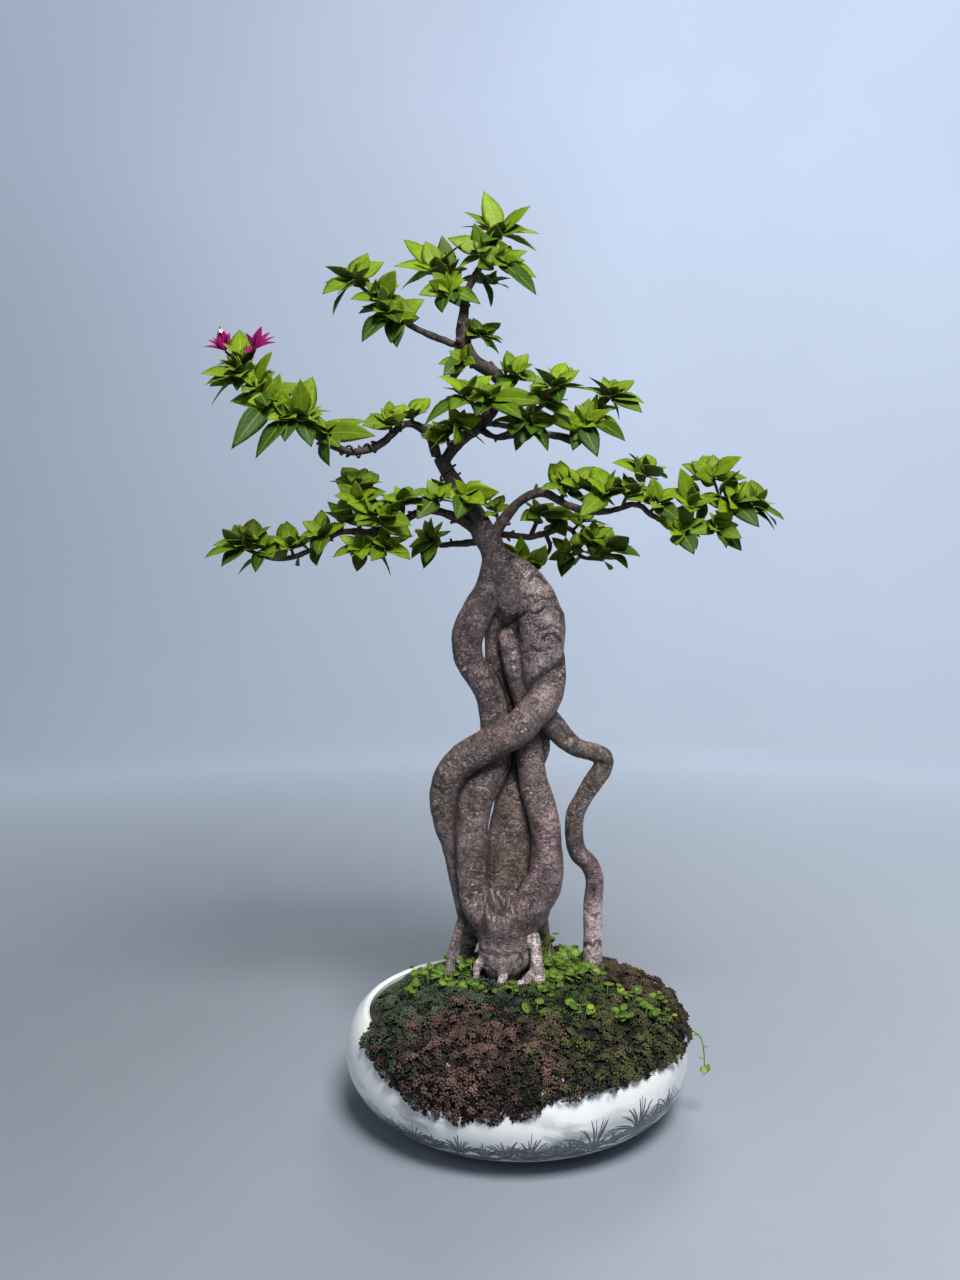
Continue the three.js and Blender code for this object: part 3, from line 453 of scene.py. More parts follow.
def blade_group():
    """The face of a leaf or bract: midrib, side veins, paler margin, a darker, duller underside that is
    partly its own colour and partly painted shade, and its relief.
    It is cream where the piece carries a bloom value, as only the small bloom does.
    """
    vein_slant, vein_strength, patch_scale = 0.22, 0.09, 120
    finish, given, result = new_group(
        "blade",
        {"Face": "Color", "Deep": "Color", "Margin": "Color", "Underside": "Color", "Veins": "Float"},
        {"Colour": "Color", "Height": "Float"})
    edge, along = finish.value("edge"), finish.value("along")
    patch = finish.noise(finish.place(), patch_scale, 3)
    rib = finish.ramp(edge, 0.02, 0.09, 0.30, 0)
    slant = finish.total((along, 1), (edge, -vein_slant))
    wave = finish.math("SINE", finish.times(slant, finish.times(given["Veins"], 2 * math.pi)))
    vein = finish.ramp(wave, 0.82, 1.0)
    # Darker with age, which on steeply hanging leaves also carries painted shade, and with each piece's
    # random tone.
    tone = finish.total((finish.value("age"), 0.45), (finish.value("shade"), 0.40))
    face = finish.painted(
        finish.mix(tone, given["Face"], given["Deep"]),
        (finish.ramp(patch, 0.4, 0.7), 0.35, given["Deep"]),
        (finish.ramp(edge, 0.84, 1.0), 0.4, given["Margin"]),
        (rib, 1, given["Margin"]),
        (vein, vein_strength, given["Margin"]))
    # The underside is darker, partly its own duller colour and partly painted shade.
    face = finish.mix(finish.value("under"), face, given["Underside"])
    finish.feed(result["Colour"], finish.mix(finish.value("bloom"), face, BLOOM_CREAM))
    finish.feed(result["Height"], finish.total((patch, 0.4), (vein, -0.5), (rib, -1)))
    return finish.tree


def tuft_group():
    """The colour of a ground-cover cushion: each sprig its own tone, with painted shade in the hollows."""
    finish, given, result = new_group(
        "tuft", {"Tip": "Color", "Body": "Color", "Hollow": "Color", "Patch": "Float"},
        {"Colour": "Color", "Height": "Float"})
    patch = finish.noise(finish.place(), given["Patch"], 3)
    tone = finish.total((finish.value("shade"), 0.7), (finish.ramp(patch, 0.35, 0.65, -0.2, 0.4), 1))
    colour = finish.mix(tone, given["Body"], given["Tip"])
    # Painted shade: the lower a point lies, the nearer it comes to the hollow colour.
    depth = finish.ramp(finish.value("lift"), 0.16, 0.80, 1, 0)
    finish.feed(result["Colour"], finish.mix(depth, colour, given["Hollow"]))
    finish.feed(result["Height"], finish.noise(finish.place(), 900, 3))
    return finish.tree


def side_group():
    """The paper's glow, which grows from left to right."""
    finish, _, result = new_group("side_light", {}, {"Colour": "Color"})
    strength = finish.ramp(finish.axes()[0], GLOW_LEFT, GLOW_RIGHT, 0.45, 1.0)
    finish.feed(result["Colour"], finish.mix(strength, BLACK, BACKDROP_GLOW))
    return finish.tree


MOTTLE = mottle_group()
GRAIN = grain_group()
BLADE = blade_group()
TUFT = tuft_group()
SIDE_LIGHT = side_group()


# ------------------------------------------------------------------ finishes

GLAZE_LIGHT, GLAZE_DARK = (0.76, 0.78, 0.785), (0.66, 0.69, 0.70)
WASH_BLUE, BARE_CLAY = (0.12, 0.15, 0.195), (0.42, 0.40, 0.36)
INK_LIGHT, INK_DARK, INK_THIN = (0.035, 0.042, 0.058), (0.006, 0.007, 0.010), (0.15, 0.18, 0.23)
# Bands in metres on the object, here and below: an effect fades in or out between the two numbers.
WASH_FROM, WASH_TO, WASH_FRONT = (0.016, 0.030), (0.078, 0.044), (-0.04, -0.12)
BARE_FOOT = (0.0035, 0.0005)


def white_glaze():
    """Glossy white with a thin wash low on the front and an unglazed foot."""
    material, finish, surface = new_finish("white_glaze", 0.12, Coat_Weight=0.5, Coat_Roughness=0.04)
    place = finish.place()
    _, y, z = finish.axes()
    body = finish.group(MOTTLE, vector=place, light=GLAZE_LIGHT, dark=GLAZE_DARK, scale=14, contrast=0.6)
    cloud = finish.noise(finish.stretched(place, (14, 14, 42)), 1.0, 5, 0.6)
    band = finish.times(finish.ramp(z, *WASH_FROM), finish.ramp(z, *WASH_TO))
    front = finish.ramp(y, *WASH_FRONT)
    wash = finish.times(finish.times(band, front), finish.ramp(cloud, 0.50, 0.60))
    foot = finish.ramp(z, *BARE_FOOT)
    finish.feed(surface["Base Color"],
                finish.painted(body["Colour"], (wash, 0.75, WASH_BLUE), (foot, 0.5, BARE_CLAY)))
    finish.feed(surface["Roughness"], finish.ramp(body["Mask"], 0, 1, 0.10, 0.17))
    ripple = finish.group(GRAIN, vector=place, scale=46, coarse=0.8)
    bump(finish, surface, ripple["Height"], 0.0004, 0.35)
    return material


def brush_ink():
    """Glossy ink under the glaze, thinner where a stroke fades."""
    material, finish, surface = new_finish("brush_ink", 0.14, Coat_Weight=0.5, Coat_Roughness=0.04)
    body = finish.group(MOTTLE, vector=finish.place(), light=INK_LIGHT, dark=INK_DARK, scale=110,
                        contrast=1.2)
    finish.feed(surface["Base Color"], finish.mix(finish.value("fade"), body["Colour"], INK_THIN))
    return material


BARK_LIGHT, BARK_DARK = (0.172, 0.121, 0.121), (0.044, 0.029, 0.029)
OCHRE_LIGHT, OCHRE_DARK = (0.160, 0.118, 0.066), (0.050, 0.038, 0.022)
PINK_TONE_AND_HIGHLIGHT, FLECK_PALE, DUST_WHITE = (0.47, 0.32, 0.345), (0.50, 0.41, 0.41), (0.80, 0.645, 0.665)
WRINKLE_SHADE, FIBRE_SHADE = (0.018, 0.012, 0.011), (0.020, 0.014, 0.013)
NECK_SHADE, RING_SHADE, CRACK_SHADE = (0.020, 0.015, 0.014), (0.035, 0.025, 0.022), (0.012, 0.008, 0.007)
NECK_RISE, SHOULDER_RISE, SHOULDER_SIDE = (0.575, 0.605), (0.528, 0.555), (-0.012, 0.006)
THICK_CRACKS_RISE = (0.40, 0.50)


def neck_shadow(finish):
    """Where the wood darkens: above the roots, and lower down left of the shoulder."""
    side, _, level = finish.axes()
    left = finish.times(finish.ramp(level, *SHOULDER_RISE), finish.ramp(side, *SHOULDER_SIDE, 1, 0))
    return finish.math("MAXIMUM", finish.ramp(level, *NECK_RISE), left)


def plate_cracks(finish, place):
    """Fine cracks between plates of bark, in patches, and thicker higher up."""
    warp = finish.node("TexNoise", {"Vector": place, "Scale": 38.0}).outputs["Color"]
    plates = finish.node("TexVoronoi", {"Vector": finish.mix(0.22, place, warp), "Scale": 105.0},
                         feature="DISTANCE_TO_EDGE")
    patches = finish.ramp(finish.noise(place, 24, 2), 0.40, 0.56)
    higher = finish.ramp(finish.axes()[2], *THICK_CRACKS_RISE, 0.25, 1)
    gaps = finish.ramp(plates.outputs["Distance"], 0.015, 0.10, 1, 0)
    return finish.times(gaps, finish.times(patches, higher))


def root_bark():
    """Wrinkled bark: fibres run along each root and creases run round it, under pale pink patches that are
    partly the bark's own tone and partly painted highlight.
    """
    material, finish, surface = new_finish("root_bark", 0.6, Specular_IOR_Level=0.62)
    grain = finish.node("Attribute", attribute_name="grain").outputs["Vector"]
    place = finish.place()
    body = finish.group(MOTTLE, vector=finish.stretched(grain, (1, 1, 0.9)), light=BARK_LIGHT, dark=BARK_DARK,
                        scale=85, contrast=1.1)
    bloom = finish.noise(finish.stretched(grain, (1, 1, 1.3)), 120, 5, 0.6)
    # Pale pink, partly the bark's own tone and partly painted highlight.
    blush = finish.times(finish.value("blush"), finish.ramp(bloom, 0.38, 0.62, 0.15, 0.75))
    fleck = finish.noise(finish.stretched(grain, (0.55, 0.55, 1.8)), 300, 2, 0.6)
    flecks = finish.times(finish.ramp(fleck, 0.575, 0.61),
                          finish.ramp(finish.noise(place, 26, 2), 0.44, 0.60, 0.12, 1))
    dust = finish.times(finish.value("dust"), finish.ramp(finish.noise(place, 150, 4), 0.34, 0.55, 0.25, 1.0))
    wrinkle = finish.noise(finish.stretched(grain, (0.7, 0.7, 5.0)), 105, 5, 1.5)
    wrinkles = finish.times(finish.ramp(wrinkle, 0.54, 0.60),
                            finish.ramp(finish.noise(place, 19, 2), 0.36, 0.54))
    fibres = finish.ramp(finish.noise(finish.stretched(grain, (5, 5, 0.9)), 95, 4), 0.57, 0.65)
    cracks = plate_cracks(finish, place)
    colour = finish.painted(
        body["Colour"],
        (finish.value("ochre"), 0.8, finish.mix(body["Mask"], OCHRE_DARK, OCHRE_LIGHT)),
        (blush, 1, PINK_TONE_AND_HIGHLIGHT),
        (flecks, 0.85, FLECK_PALE),
        (dust, 1, DUST_WHITE),
        (wrinkles, 0.6, WRINKLE_SHADE),
        (fibres, 0.18, FIBRE_SHADE),
        (cracks, 0.8, CRACK_SHADE),
        (neck_shadow(finish), 0.68, NECK_SHADE))
    pores = finish.ramp(finish.noise(place, 430, 3), 0.40, 0.60, 0.5, 1.4)
    colour = finish.painted(
        finish.mix(pores, BLACK, colour),
        # Painted shade in the grooves of the ring wrinkles, where strands meet, in the cracks and in the knot
        # holes; ring also darkens the warts a little.
        (finish.value("ring"), 0.42, RING_SHADE),
        (finish.value("crease"), 0.9, CRACK_SHADE))
    finish.feed(surface["Base Color"], colour)
    finish.feed(surface["Roughness"], finish.ramp(bloom, 0.3, 0.7, 0.34, 0.54))
    relief = finish.group(GRAIN, vector=grain, scale=420, coarse=0.8)["Height"]
    height = finish.total((relief, 0.55), (flecks, 0.3), (wrinkles, -0.8), (fibres, -0.2), (cracks, -0.9))
    bump(finish, surface, height, 0.0022)
    return material


OLD_BARK_LIGHT, OLD_BARK_DARK = (0.062, 0.042, 0.034), (0.010, 0.007, 0.006)
YOUNG_BARK_LIGHT, YOUNG_BARK_DARK = (0.120, 0.056, 0.026), (0.035, 0.016, 0.010)
LENTICEL_PALE = (0.30, 0.235, 0.19)
WIRE_LIGHT, WIRE_DARK = (0.11, 0.07, 0.05), (0.04, 0.026, 0.02)


def branch_bark():
    """Dark bark, redder on young wood, with pale lenticels."""
    material, finish, surface = new_finish("branch_bark", 0.74, Specular_IOR_Level=0.4)
    place = finish.place()
    old = finish.group(MOTTLE, vector=place, light=OLD_BARK_LIGHT, dark=OLD_BARK_DARK, scale=190,
                       contrast=1.0)
    fresh = finish.group(MOTTLE, vector=place, light=YOUNG_BARK_LIGHT, dark=YOUNG_BARK_DARK, scale=160,
                         contrast=0.9)
    colour = finish.mix(finish.value("young"), old["Colour"], fresh["Colour"])
    pale = finish.ramp(finish.noise(place, 420, 2), 0.64, 0.72)
    finish.feed(surface["Base Color"], finish.painted(colour, (pale, 0.45, LENTICEL_PALE)))
    bump(finish, surface, finish.group(GRAIN, vector=place, scale=700, coarse=1.0)["Height"], 0.0008, 0.9)
    return material


def brown_wire():
    """Brown anodised metal, dulled by weather."""
    material, finish, surface = new_finish("brown_wire", 0.42, Metallic=0.8)
    place = finish.place()
    body = finish.group(MOTTLE, vector=place, light=WIRE_LIGHT, dark=WIRE_DARK, scale=260, contrast=0.9)
    finish.feed(surface["Base Color"], body["Colour"])
    finish.feed(surface["Roughness"], finish.ramp(body["Mask"], 0, 1, 0.35, 0.55))
    bump(finish, surface, finish.group(GRAIN, vector=place, scale=900, coarse=0.4)["Height"], 0.0002, 0.5)
    return material


def blade(name, roughness, face, deep, margin, underside, veins, relief, strength=0.6, **constants):
    """Leaves or bracts, with four tones, a number of side veins and how deep the relief is."""
    material, finish, surface = new_finish(name, roughness, Subsurface_Weight=0.1, Subsurface_Scale=0.002,
                                           **constants)
    skin = finish.group(BLADE, face=face, deep=deep, margin=margin, underside=underside, veins=veins)
    finish.feed(surface["Base Color"], skin["Colour"])
    bump(finish, surface, skin["Height"], relief, strength)
    return material


def leaf_green():
    return blade("leaf_green", 0.5, (0.195, 0.300, 0.007), (0.018, 0.052, 0.003), (0.32, 0.42, 0.035),
                 (0.060, 0.105, 0.018), 8, 0.0004, Specular_IOR_Level=0.15)


def bract_magenta():
    return blade("bract_magenta", 0.62, (0.31, 0.004, 0.125), (0.12, 0.002, 0.06), (0.34, 0.008, 0.15),
                 (0.20, 0.004, 0.085), 10, 0.0003, Specular_IOR_Level=0.12)


def round_leaf_green():
    return blade("round_leaf_green", 0.45, (0.205, 0.335, 0.026), (0.020, 0.068, 0.006), (0.30, 0.44, 0.07),
                 (0.06, 0.12, 0.02), 5, 0.0002, 0.5)


# Each kind of ground cover: how patchy it is, and its tones as tip, body and hollow, where hollow is painted
# shade. Green has a second, blue-grey set of tones, which it takes on to the left of the trunk.
MOSS_TONES = {
    "green": (26, ((0.130, 0.205, 0.036), (0.012, 0.027, 0.006), (0.003, 0.005, 0.002)),
              ((0.105, 0.150, 0.078), (0.018, 0.028, 0.016), (0.004, 0.006, 0.004))),
    "purple": (28, ((0.245, 0.140, 0.120), (0.027, 0.015, 0.013), (0.004, 0.003, 0.002))),
    "olive": (28, ((0.158, 0.172, 0.052), (0.017, 0.021, 0.007), (0.003, 0.004, 0.002))),
    "brown": (28, ((0.150, 0.103, 0.058), (0.016, 0.011, 0.008), (0.004, 0.003, 0.002))),
}


def moss(kind):
    """One kind of ground cover."""
    material, finish, surface = new_finish(kind + "_moss", 0.72, Specular_IOR_Level=0.35)
    patch, *tones = MOSS_TONES[kind]
    skins = [finish.group(TUFT, tip=tip, body=body, hollow=hollow, patch=patch)
             for tip, body, hollow in tones]
    colour = skins[0]["Colour"]
    if len(skins) > 1:
        wander = finish.ramp(finish.noise(finish.place(), 22, 2), 0.3, 0.7, -0.03, 0.03)
        left = finish.ramp(finish.math("ADD", finish.axes()[0], wander), 0.02, -0.02)
        colour = finish.mix(left, colour, skins[1]["Colour"])
    finish.feed(surface["Base Color"], colour)
    bump(finish, surface, skins[0]["Height"], 0.0004, 0.6)
    return material


def crumbs(name, light, dark, scale, distance, roughness=0.95):
    """Soil, grit or matt plastic: mottled, with crumbly relief."""
    material, finish, surface = new_finish(name, roughness)
    place = finish.place()
    body = finish.group(MOTTLE, vector=place, light=light, dark=dark, scale=scale, contrast=1.1)
    finish.feed(surface["Base Color"], body["Colour"])
    relief = finish.group(GRAIN, vector=place, scale=scale * 2.4, coarse=1.0)
    bump(finish, surface, relief["Height"], distance)
    return material


# The floor paper's two tones: in painted dim light on the left, and in painted bright light on the right.
PAPER_DIM = (0.160, 0.181, 0.215), (0.150, 0.169, 0.203)
PAPER_BRIGHT = (0.335, 0.378, 0.448), (0.320, 0.360, 0.430)
PAPER_FAR, PAPER_HUNG = (0.10, 0.11, 0.13), (0.12, 0.13, 0.15)
GLOW_AT_TOP = (1.36, 1.365, 1.42)


def studio_floor():
    """Pale paper, with painted light that brightens it from left to right, that takes on the backdrop's glow
    far from the bowl, so that no edge shows between them.
    """
    material, finish, surface = new_finish("studio_floor", 0.85, Emission_Strength=1.0)
    place = finish.place()
    dim, bright = (finish.group(MOTTLE, vector=place, light=light, dark=dark, scale=3, contrast=0.5)["Colour"]
                   for light, dark in (PAPER_DIM, PAPER_BRIGHT))
    # Painted light: dimmer on the left, brighter on the right.
    body = finish.mix(finish.ramp(finish.axes()[0], -0.7, 0.8), dim, bright)
    reach = finish.node("VectorMath", {"Vector": place}, operation="LENGTH").outputs["Value"]
    far = finish.ramp(reach, 0.45, 2.6)
    finish.feed(surface["Base Color"], finish.mix(far, body, PAPER_FAR))
    finish.feed(surface["Emission Color"], finish.mix(far, BLACK, finish.group(SIDE_LIGHT)["Colour"]))
    return material


def studio_backdrop():
    """Pale paper that glows a little more the higher it hangs."""
    material, finish, surface = new_finish("studio_backdrop", 0.9, Emission_Strength=1.0)
    finish.feed(surface["Base Color"], PAPER_HUNG)
    side = finish.group(SIDE_LIGHT)["Colour"]
    top = finish.mix(1.0, side, GLOW_AT_TOP, "MULTIPLY")
    glow = finish.mix(finish.ramp(finish.axes()[2], 0.0, 3.4), side, top)
    soft = finish.ramp(finish.noise(finish.place(), 0.8, 3), 0.3, 0.7, 0.94, 1.0)
    finish.feed(surface["Emission Color"], finish.mix(soft, BLACK, glow))
    return material


# ------------------------------------------------------------------ floor and backdrop

def lay_floor():
    """A flat floor, and a round backdrop that lets the studio's light through."""
    bearings = circle(FLOOR_SIDES)
    bend = np.linspace(0, math.pi / 2, SWEEP_STEPS)
    wall = [(FLOOR_RADIUS + SWEEP_RADIUS * math.sin(a), SWEEP_RADIUS * (1 - math.cos(a))) for a in bend]
    wall.append((FLOOR_RADIUS + SWEEP_RADIUS, SWEEP_HEIGHT))
    for name, profile, finish in (("floor", FLOOR_PROFILE, studio_floor()),
                                  ("backdrop", wall, studio_backdrop())):
        rings = np.array([[[r * math.cos(b), r * math.sin(b), h - FLOOR_DROP] for b in bearings]
                          for r, h in profile])
        mesh = bpy.data.meshes.new(name)
        mesh.from_pydata(rings.reshape(-1, 3).tolist(), [], grid_faces(len(profile), len(bearings)).tolist())
        mesh.shade_smooth()
        mesh.materials.append(finish)
        ground = placed(name, mesh)
        if name == "backdrop":
            ground.visible_diffuse = ground.visible_shadow = ground.visible_glossy = False


# ------------------------------------------------------------------ trunk of grown-together roots
# A route is a list of [x, y, z, radius] that the wood passes through, from its upper end to its lower one.

TRUNK_ABOVE_ROOTS = [[-82, 6, 686, 7.5], [-74, 5, 672, 8], [-65, 4, 657, 9], [-53, 2, 639, 10],
                     [-42, 0, 620, 11.5], [-35, 0, 605, 14], [-28, 0, 593, 14], [-25, 0, 583, 13.5],
                     [-23, 0, 570, 13]]
NECK = [[-22, 0, 582, 14], [-17, 0, 570, 16.5], [-12, 0, 558, 18], [-8, 0, 545, 17.5], [-8, 1, 533, 15.5],
        [-9, 3, 521, 12]]
LEFT_FRONT_ROOT = [[-25, 0, 581, 12], [-27, 0, 566, 12.5], [-29, 0, 551, 14], [-34, -1, 537, 16],
                   [-41, -2, 523, 17], [-50, -2, 505, 17.5], [-53, -2, 488, 16.5], [-50, -1, 470, 16],
                   [-39, 1, 453, 15.5], [-29, 4, 433, 15], [-25, 7, 412, 15.5], [-23, 9, 387, 15.5],
                   [-20, 7, 366, 15], [-28, 1, 347, 16.5], [-41, -5, 329, 18], [-46, -7, 306, 17.5],
                   [-47, -8, 280, 17], [-48, -8, 255, 16], [-46, -9, 229, 16], [-39, -11, 208, 17],
                   [-26, -10, 193, 17.5]]
SHOULDER_BULGE = [[-21, 2, 577, 13], [-8, 2, 568, 16], [8, 1, 556, 18], [19, 0, 538, 21], [26, -1, 513, 24],
                  [27, -1, 492, 24], [26, 0, 473, 22], [23, 3, 455, 18], [19, 7, 439, 13], [17, 9, 419, 9]]
CROSSING_ROOT = [[30, 14, 505, 12], [35, 11, 487, 13.5], [37, 6, 471, 15], [35, -3, 451, 17],
                 [29, -11, 431, 18], [15, -17, 414, 18], [-4, -20, 397, 18], [-32, -18, 382, 17.5],
                 [-57, -14, 366, 17], [-73, -9, 346, 16.5], [-78, -4, 323, 15], [-75, 2, 300, 14.5],
                 [-68, 7, 276, 13.5], [-62, 10, 251, 13.5], [-56, 11, 226, 14], [-51, 9, 203, 14],
                 [-44, 5, 182, 14]]
RIGHT_FRONT_ROOT = [[-14, 16, 500, 9], [-11, 9, 495, 10], [-8, 4, 488, 11], [-5, 1, 476, 11.5],
                    [-3, 1, 464, 11.5], [2, 4, 445, 11.5], [9, 7, 425, 11.5], [13, 8, 402, 12],
                    [13, 6, 380, 14.5], [15, 2, 359, 15], [19, -1, 338, 16], [25, -4, 317, 16.5],
                    [30, -6, 292, 16.5], [32, -7, 266, 17], [30, -8, 240, 19], [22, -10, 223, 20],
                    [8, -12, 208, 19], [-9, -11, 193, 19]]
HEEL = [[22, -9, 214, 17], [15, -9, 205, 17.5], [6, -9, 196, 18], [-4, -8, 189, 19]]
WIDE_BACK_ROOT = [[-18, 12, 535, 13], [-22, 17, 508, 12.5], [-22, 20, 475, 12], [-16, 22, 437, 15],
                  [-13, 24, 394, 14], [-7, 23, 356, 14], [-4, 20, 321, 19], [-5, 19, 288, 24],
                  [-8, 19, 256, 27], [-10, 17, 232, 28], [-12, 12, 208, 30]]
STUMP = [[-16, -2, 200, 33], [-14, -3, 189, 31], [-13, -4, 178, 29.5], [-13, -5, 168, 28], [-13, -5, 157, 28],
         [-14, -5, 148, 25], [-14, -5, 140, 20], [-14, -5, 130, 13], [-14, -5, 116, 10]]
INNER_FOLD = [[4, 14, 545, 11], [1, 16, 530, 12], [-2, 17, 514, 12], [-10, 20, 488, 9]]
FREE_ROOT = [[28, 4, 415, 12], [40, 5, 400, 12.5], [51, 6, 387, 12], [66, 8, 376, 10.5], [81, 10, 372, 10],
             [94, 12, 366, 10.5], [93, 13, 354, 10.5], [83, 14, 339, 10.5], [73, 16, 323, 10],
             [64, 18, 304, 10], [63, 20, 282, 10], [67, 23, 261, 10], [80, 26, 247, 10.5], [86, 28, 230, 10],
             [85, 31, 202, 10.5], [85, 34, 169, 10.5], [85, 37, 135, 11], [85, 38, 104, 11]]
KNOB_BEHIND = [[20, 12, 400, 10], [29, 16, 376, 8], [17, 11, 347, 7]]
SOIL_ROOTS = [
    [[-48, 4, 201, 9], [-56, 3, 192, 7.5], [-61, 2, 181, 6], [-66, -1, 168, 5.5], [-70, -4, 152, 5],
     [-71, -6, 140, 5.8], [-74, -8, 129, 4.5], [-74, -9, 114, 4]],
    [[10, -14, 184, 8], [17, -18, 176, 7.5], [20, -22, 166, 5.8], [20, -25, 156, 6.8], [24, -29, 147, 5.2],
     [23, -31, 138, 6.8], [27, -34, 129, 5], [29, -37, 114, 4]],
    [[20, -25, 152, 5], [13, -29, 145, 4.4], [9, -33, 139, 5.4], [5, -36, 131, 4.2], [4, -38, 114, 4]],
    [[10, -33, 141, 4], [2, -35, 137, 4.4], [-4, -38, 129, 3.4], [-5, -39, 114, 3]],
    [[-12, -14, 157, 6], [-12, -22, 151, 6], [-14, -29, 145, 4.8], [-17, -34, 138, 5.4], [-15, -37, 129, 4],
     [-16, -38, 114, 4]],
    [[-30, -12, 161, 6], [-37, -16, 156, 4.6], [-42, -18, 150, 5.4], [-43, -20, 141, 4], [-43, -21, 114, 4]],
    [[20, 6, 206, 12], [27, 17, 188, 8.5], [32, 28, 168, 6], [38, 37, 146, 5.5], [43, 45, 112, 4.5]],
    [[-30, 14, 198, 13], [-42, 19, 182, 11], [-50, 24, 166, 10], [-54, 31, 146, 8.5], [-56, 39, 112, 6]],
    [[-12, 16, 185, 15], [-6, 26, 172, 12], [-1, 34, 158, 10], [4, 44, 138, 8], [10, 52, 112, 6]],
]
STRANDS = [TRUNK_ABOVE_ROOTS, LEFT_FRONT_ROOT, SHOULDER_BULGE, CROSSING_ROOT, RIGHT_FRONT_ROOT,
           WIDE_BACK_ROOT, STUMP, FREE_ROOT, KNOB_BEHIND, NECK, HEEL, INNER_FOLD, *SOIL_ROOTS]

# The strands' numbers, in the order of that list. Those that melt into the others have only faint creases.
(ABOVE, LEFT, SHOULDER, CROSSING, RIGHT, BACK, BASE, FREE, KNOB, THROAT, UNDERFOOT, FOLD,
 FIRST_SOIL_ROOT) = range(13)
FUSED_STRANDS = (ABOVE, BASE, THROAT, UNDERFOOT, FOLD)
STRAND_SIDES = 20
STRAND_SPACING = 5
SAMPLE_SPACING = 2.5
TRUNK_VOXEL = 0.0019
RELAX_ROUNDS = 3
RELAX_SHARE = 0.6

# Where a tone lies on a root: the strand, the heights it runs between and how strong it is.
OCHRE_ZONES = [(CROSSING, 300, 440, 0.55), (BACK, 180, 420, 0.95), (FREE, 290, 395, 0.75),
               (LEFT, 200, 330, 0.25), (RIGHT, 280, 400, 0.3), (ABOVE, 560, 640, 0.25)]
# The pink zones are partly the bark's own pink tone and partly painted highlight where the light catches the
# roots.
PINK_TONE_AND_HIGHLIGHT_ZONES = [(RIGHT, 190, 320, 1.0), (FREE, 100, 260, 1.0), (LEFT, 180, 330, 0.6),
               (SHOULDER, 440, 560, 0.5), (BASE, 165, 200, 0.85), (CROSSING, 180, 300, 0.5),
               (CROSSING, 380, 480, 0.4), (LEFT, 440, 560, 0.3), (RIGHT, 400, 520, 0.35),
               (UNDERFOOT, 160, 212, 0.95)]
ZONE_FADE_OUT, ZONE_FADE_IN = 16, 10
WHITE_SOIL_ROOTS = (1, 2, 3, 4, 5)
DUST_ZONES = [(BASE, 120, 172, 0.4), (FREE, 100, 205, 1.0), (SHOULDER, 450, 550, 0.2)]
DUST_ZONES += [(FIRST_SOIL_ROOT + i, 100, 190, 1.0 if i in WHITE_SOIL_ROOTS else 0.3)
               for i in range(len(SOIL_ROOTS))]

# Scars and knots: [x, y, z], reach, and how far the skin rises; a negative rise is a hollow.
WARTS = [([24, -25, 552], 9, 2.2), ([19, -24, 520], 11, 1.8), ([38, -22, 500], 10, 2.4),
         ([24, -25, 486], 8, 1.6), ([46, -8, 520], 9, 1.8), ([10, -18, 540], 8, 1.6),
         ([-30, -14, 560], 7, 1.4), ([-12, -14, 575], 7, 1.6), ([54, -5, 388], 5, -3.2),
         ([62, 0, 381], 4, -2.2), ([90, 3, 360], 5, -3.0), ([-44, -16, 330], 7, 1.3),
         ([-62, -28, 372], 9, 1.3), ([6, -32, 200], 9, 1.8), ([-24, -30, 190], 10, 2.2),
         ([38, -22, 236], 10, 1.6), ([60, 10, 290], 6, 1.4), ([76, 16, 252], 6, 1.5),
         ([-38, -22, 168], 10, 2.0), ([4, -34, 168], 9, 1.6)]

# Cracks in the front of the wood, as [x, z] along each, and how deep they are.
CRACKS = [([(-48, 170), (-36, 167), (-24, 167), (-12, 167), (-3, 169), (5, 166), (13, 168)], 0.9),
          ([(0, 168), (6, 160), (4, 152)], 1.0),
          ([(75, 155), (79, 161), (84, 157), (89, 163), (95, 155)], 1.2),
          ([(77, 196), (84, 192), (94, 195)], 0.8), ([(12, 553), (17, 559), (25, 559), (31, 552)], 1.4),
          ([(3, 516), (10, 522), (19, 520), (29, 527)], 1.4),
          ([(18, 508), (26, 503), (35, 507), (44, 503)], 1.2), ([(26, 494), (34, 499), (46, 491)], 1.4),
          ([(8, 536), (18, 539), (32, 535), (42, 539)], 1.0), ([(14, 486), (22, 481), (33, 484)], 1.2),
          ([(40, 528), (46, 519), (44, 510)], 1.0), ([(-20, 584), (-12, 577), (-3, 579)], 1.2),
          ([(46, 402), (52, 393), (60, 390)], 1.0), ([(-88, 340), (-78, 336), (-70, 338)], 1.0)]
CRACK_REACH, CRACK_CORE = 2.3, 0.6


def cracked(points, outwards):
    """How deep the cracks are at points on the skin."""
    depth = np.zeros(len(points))
    for route, deepest in CRACKS:
        line = dense_curve([[x, 0, z] for x, z in route], 8)[:, [0, 2]]
        away = np.linalg.norm(points[:, None, [0, 2]] - line[None], axis=2).min(axis=1)
        in_front = smoothstep(0.0, -0.3, outwards[:, 1])
        depth = np.maximum(depth, deepest * smoothstep(CRACK_REACH, CRACK_CORE, away) * in_front)
    return depth


def merged_strands():
    """All strands as one skin."""
    growth = Growth()
    for strand in STRANDS:
        add_tube(growth, strand, STRAND_SIDES, STRAND_SPACING)
    piece = placed("strands", growth.mesh("strands"))
    skin = piece.modifiers.new("one_skin", "REMESH")
    skin.mode = "VOXEL"
    skin.voxel_size = TRUNK_VOXEL
    return evaluated_mesh(piece, "trunk_and_roots")


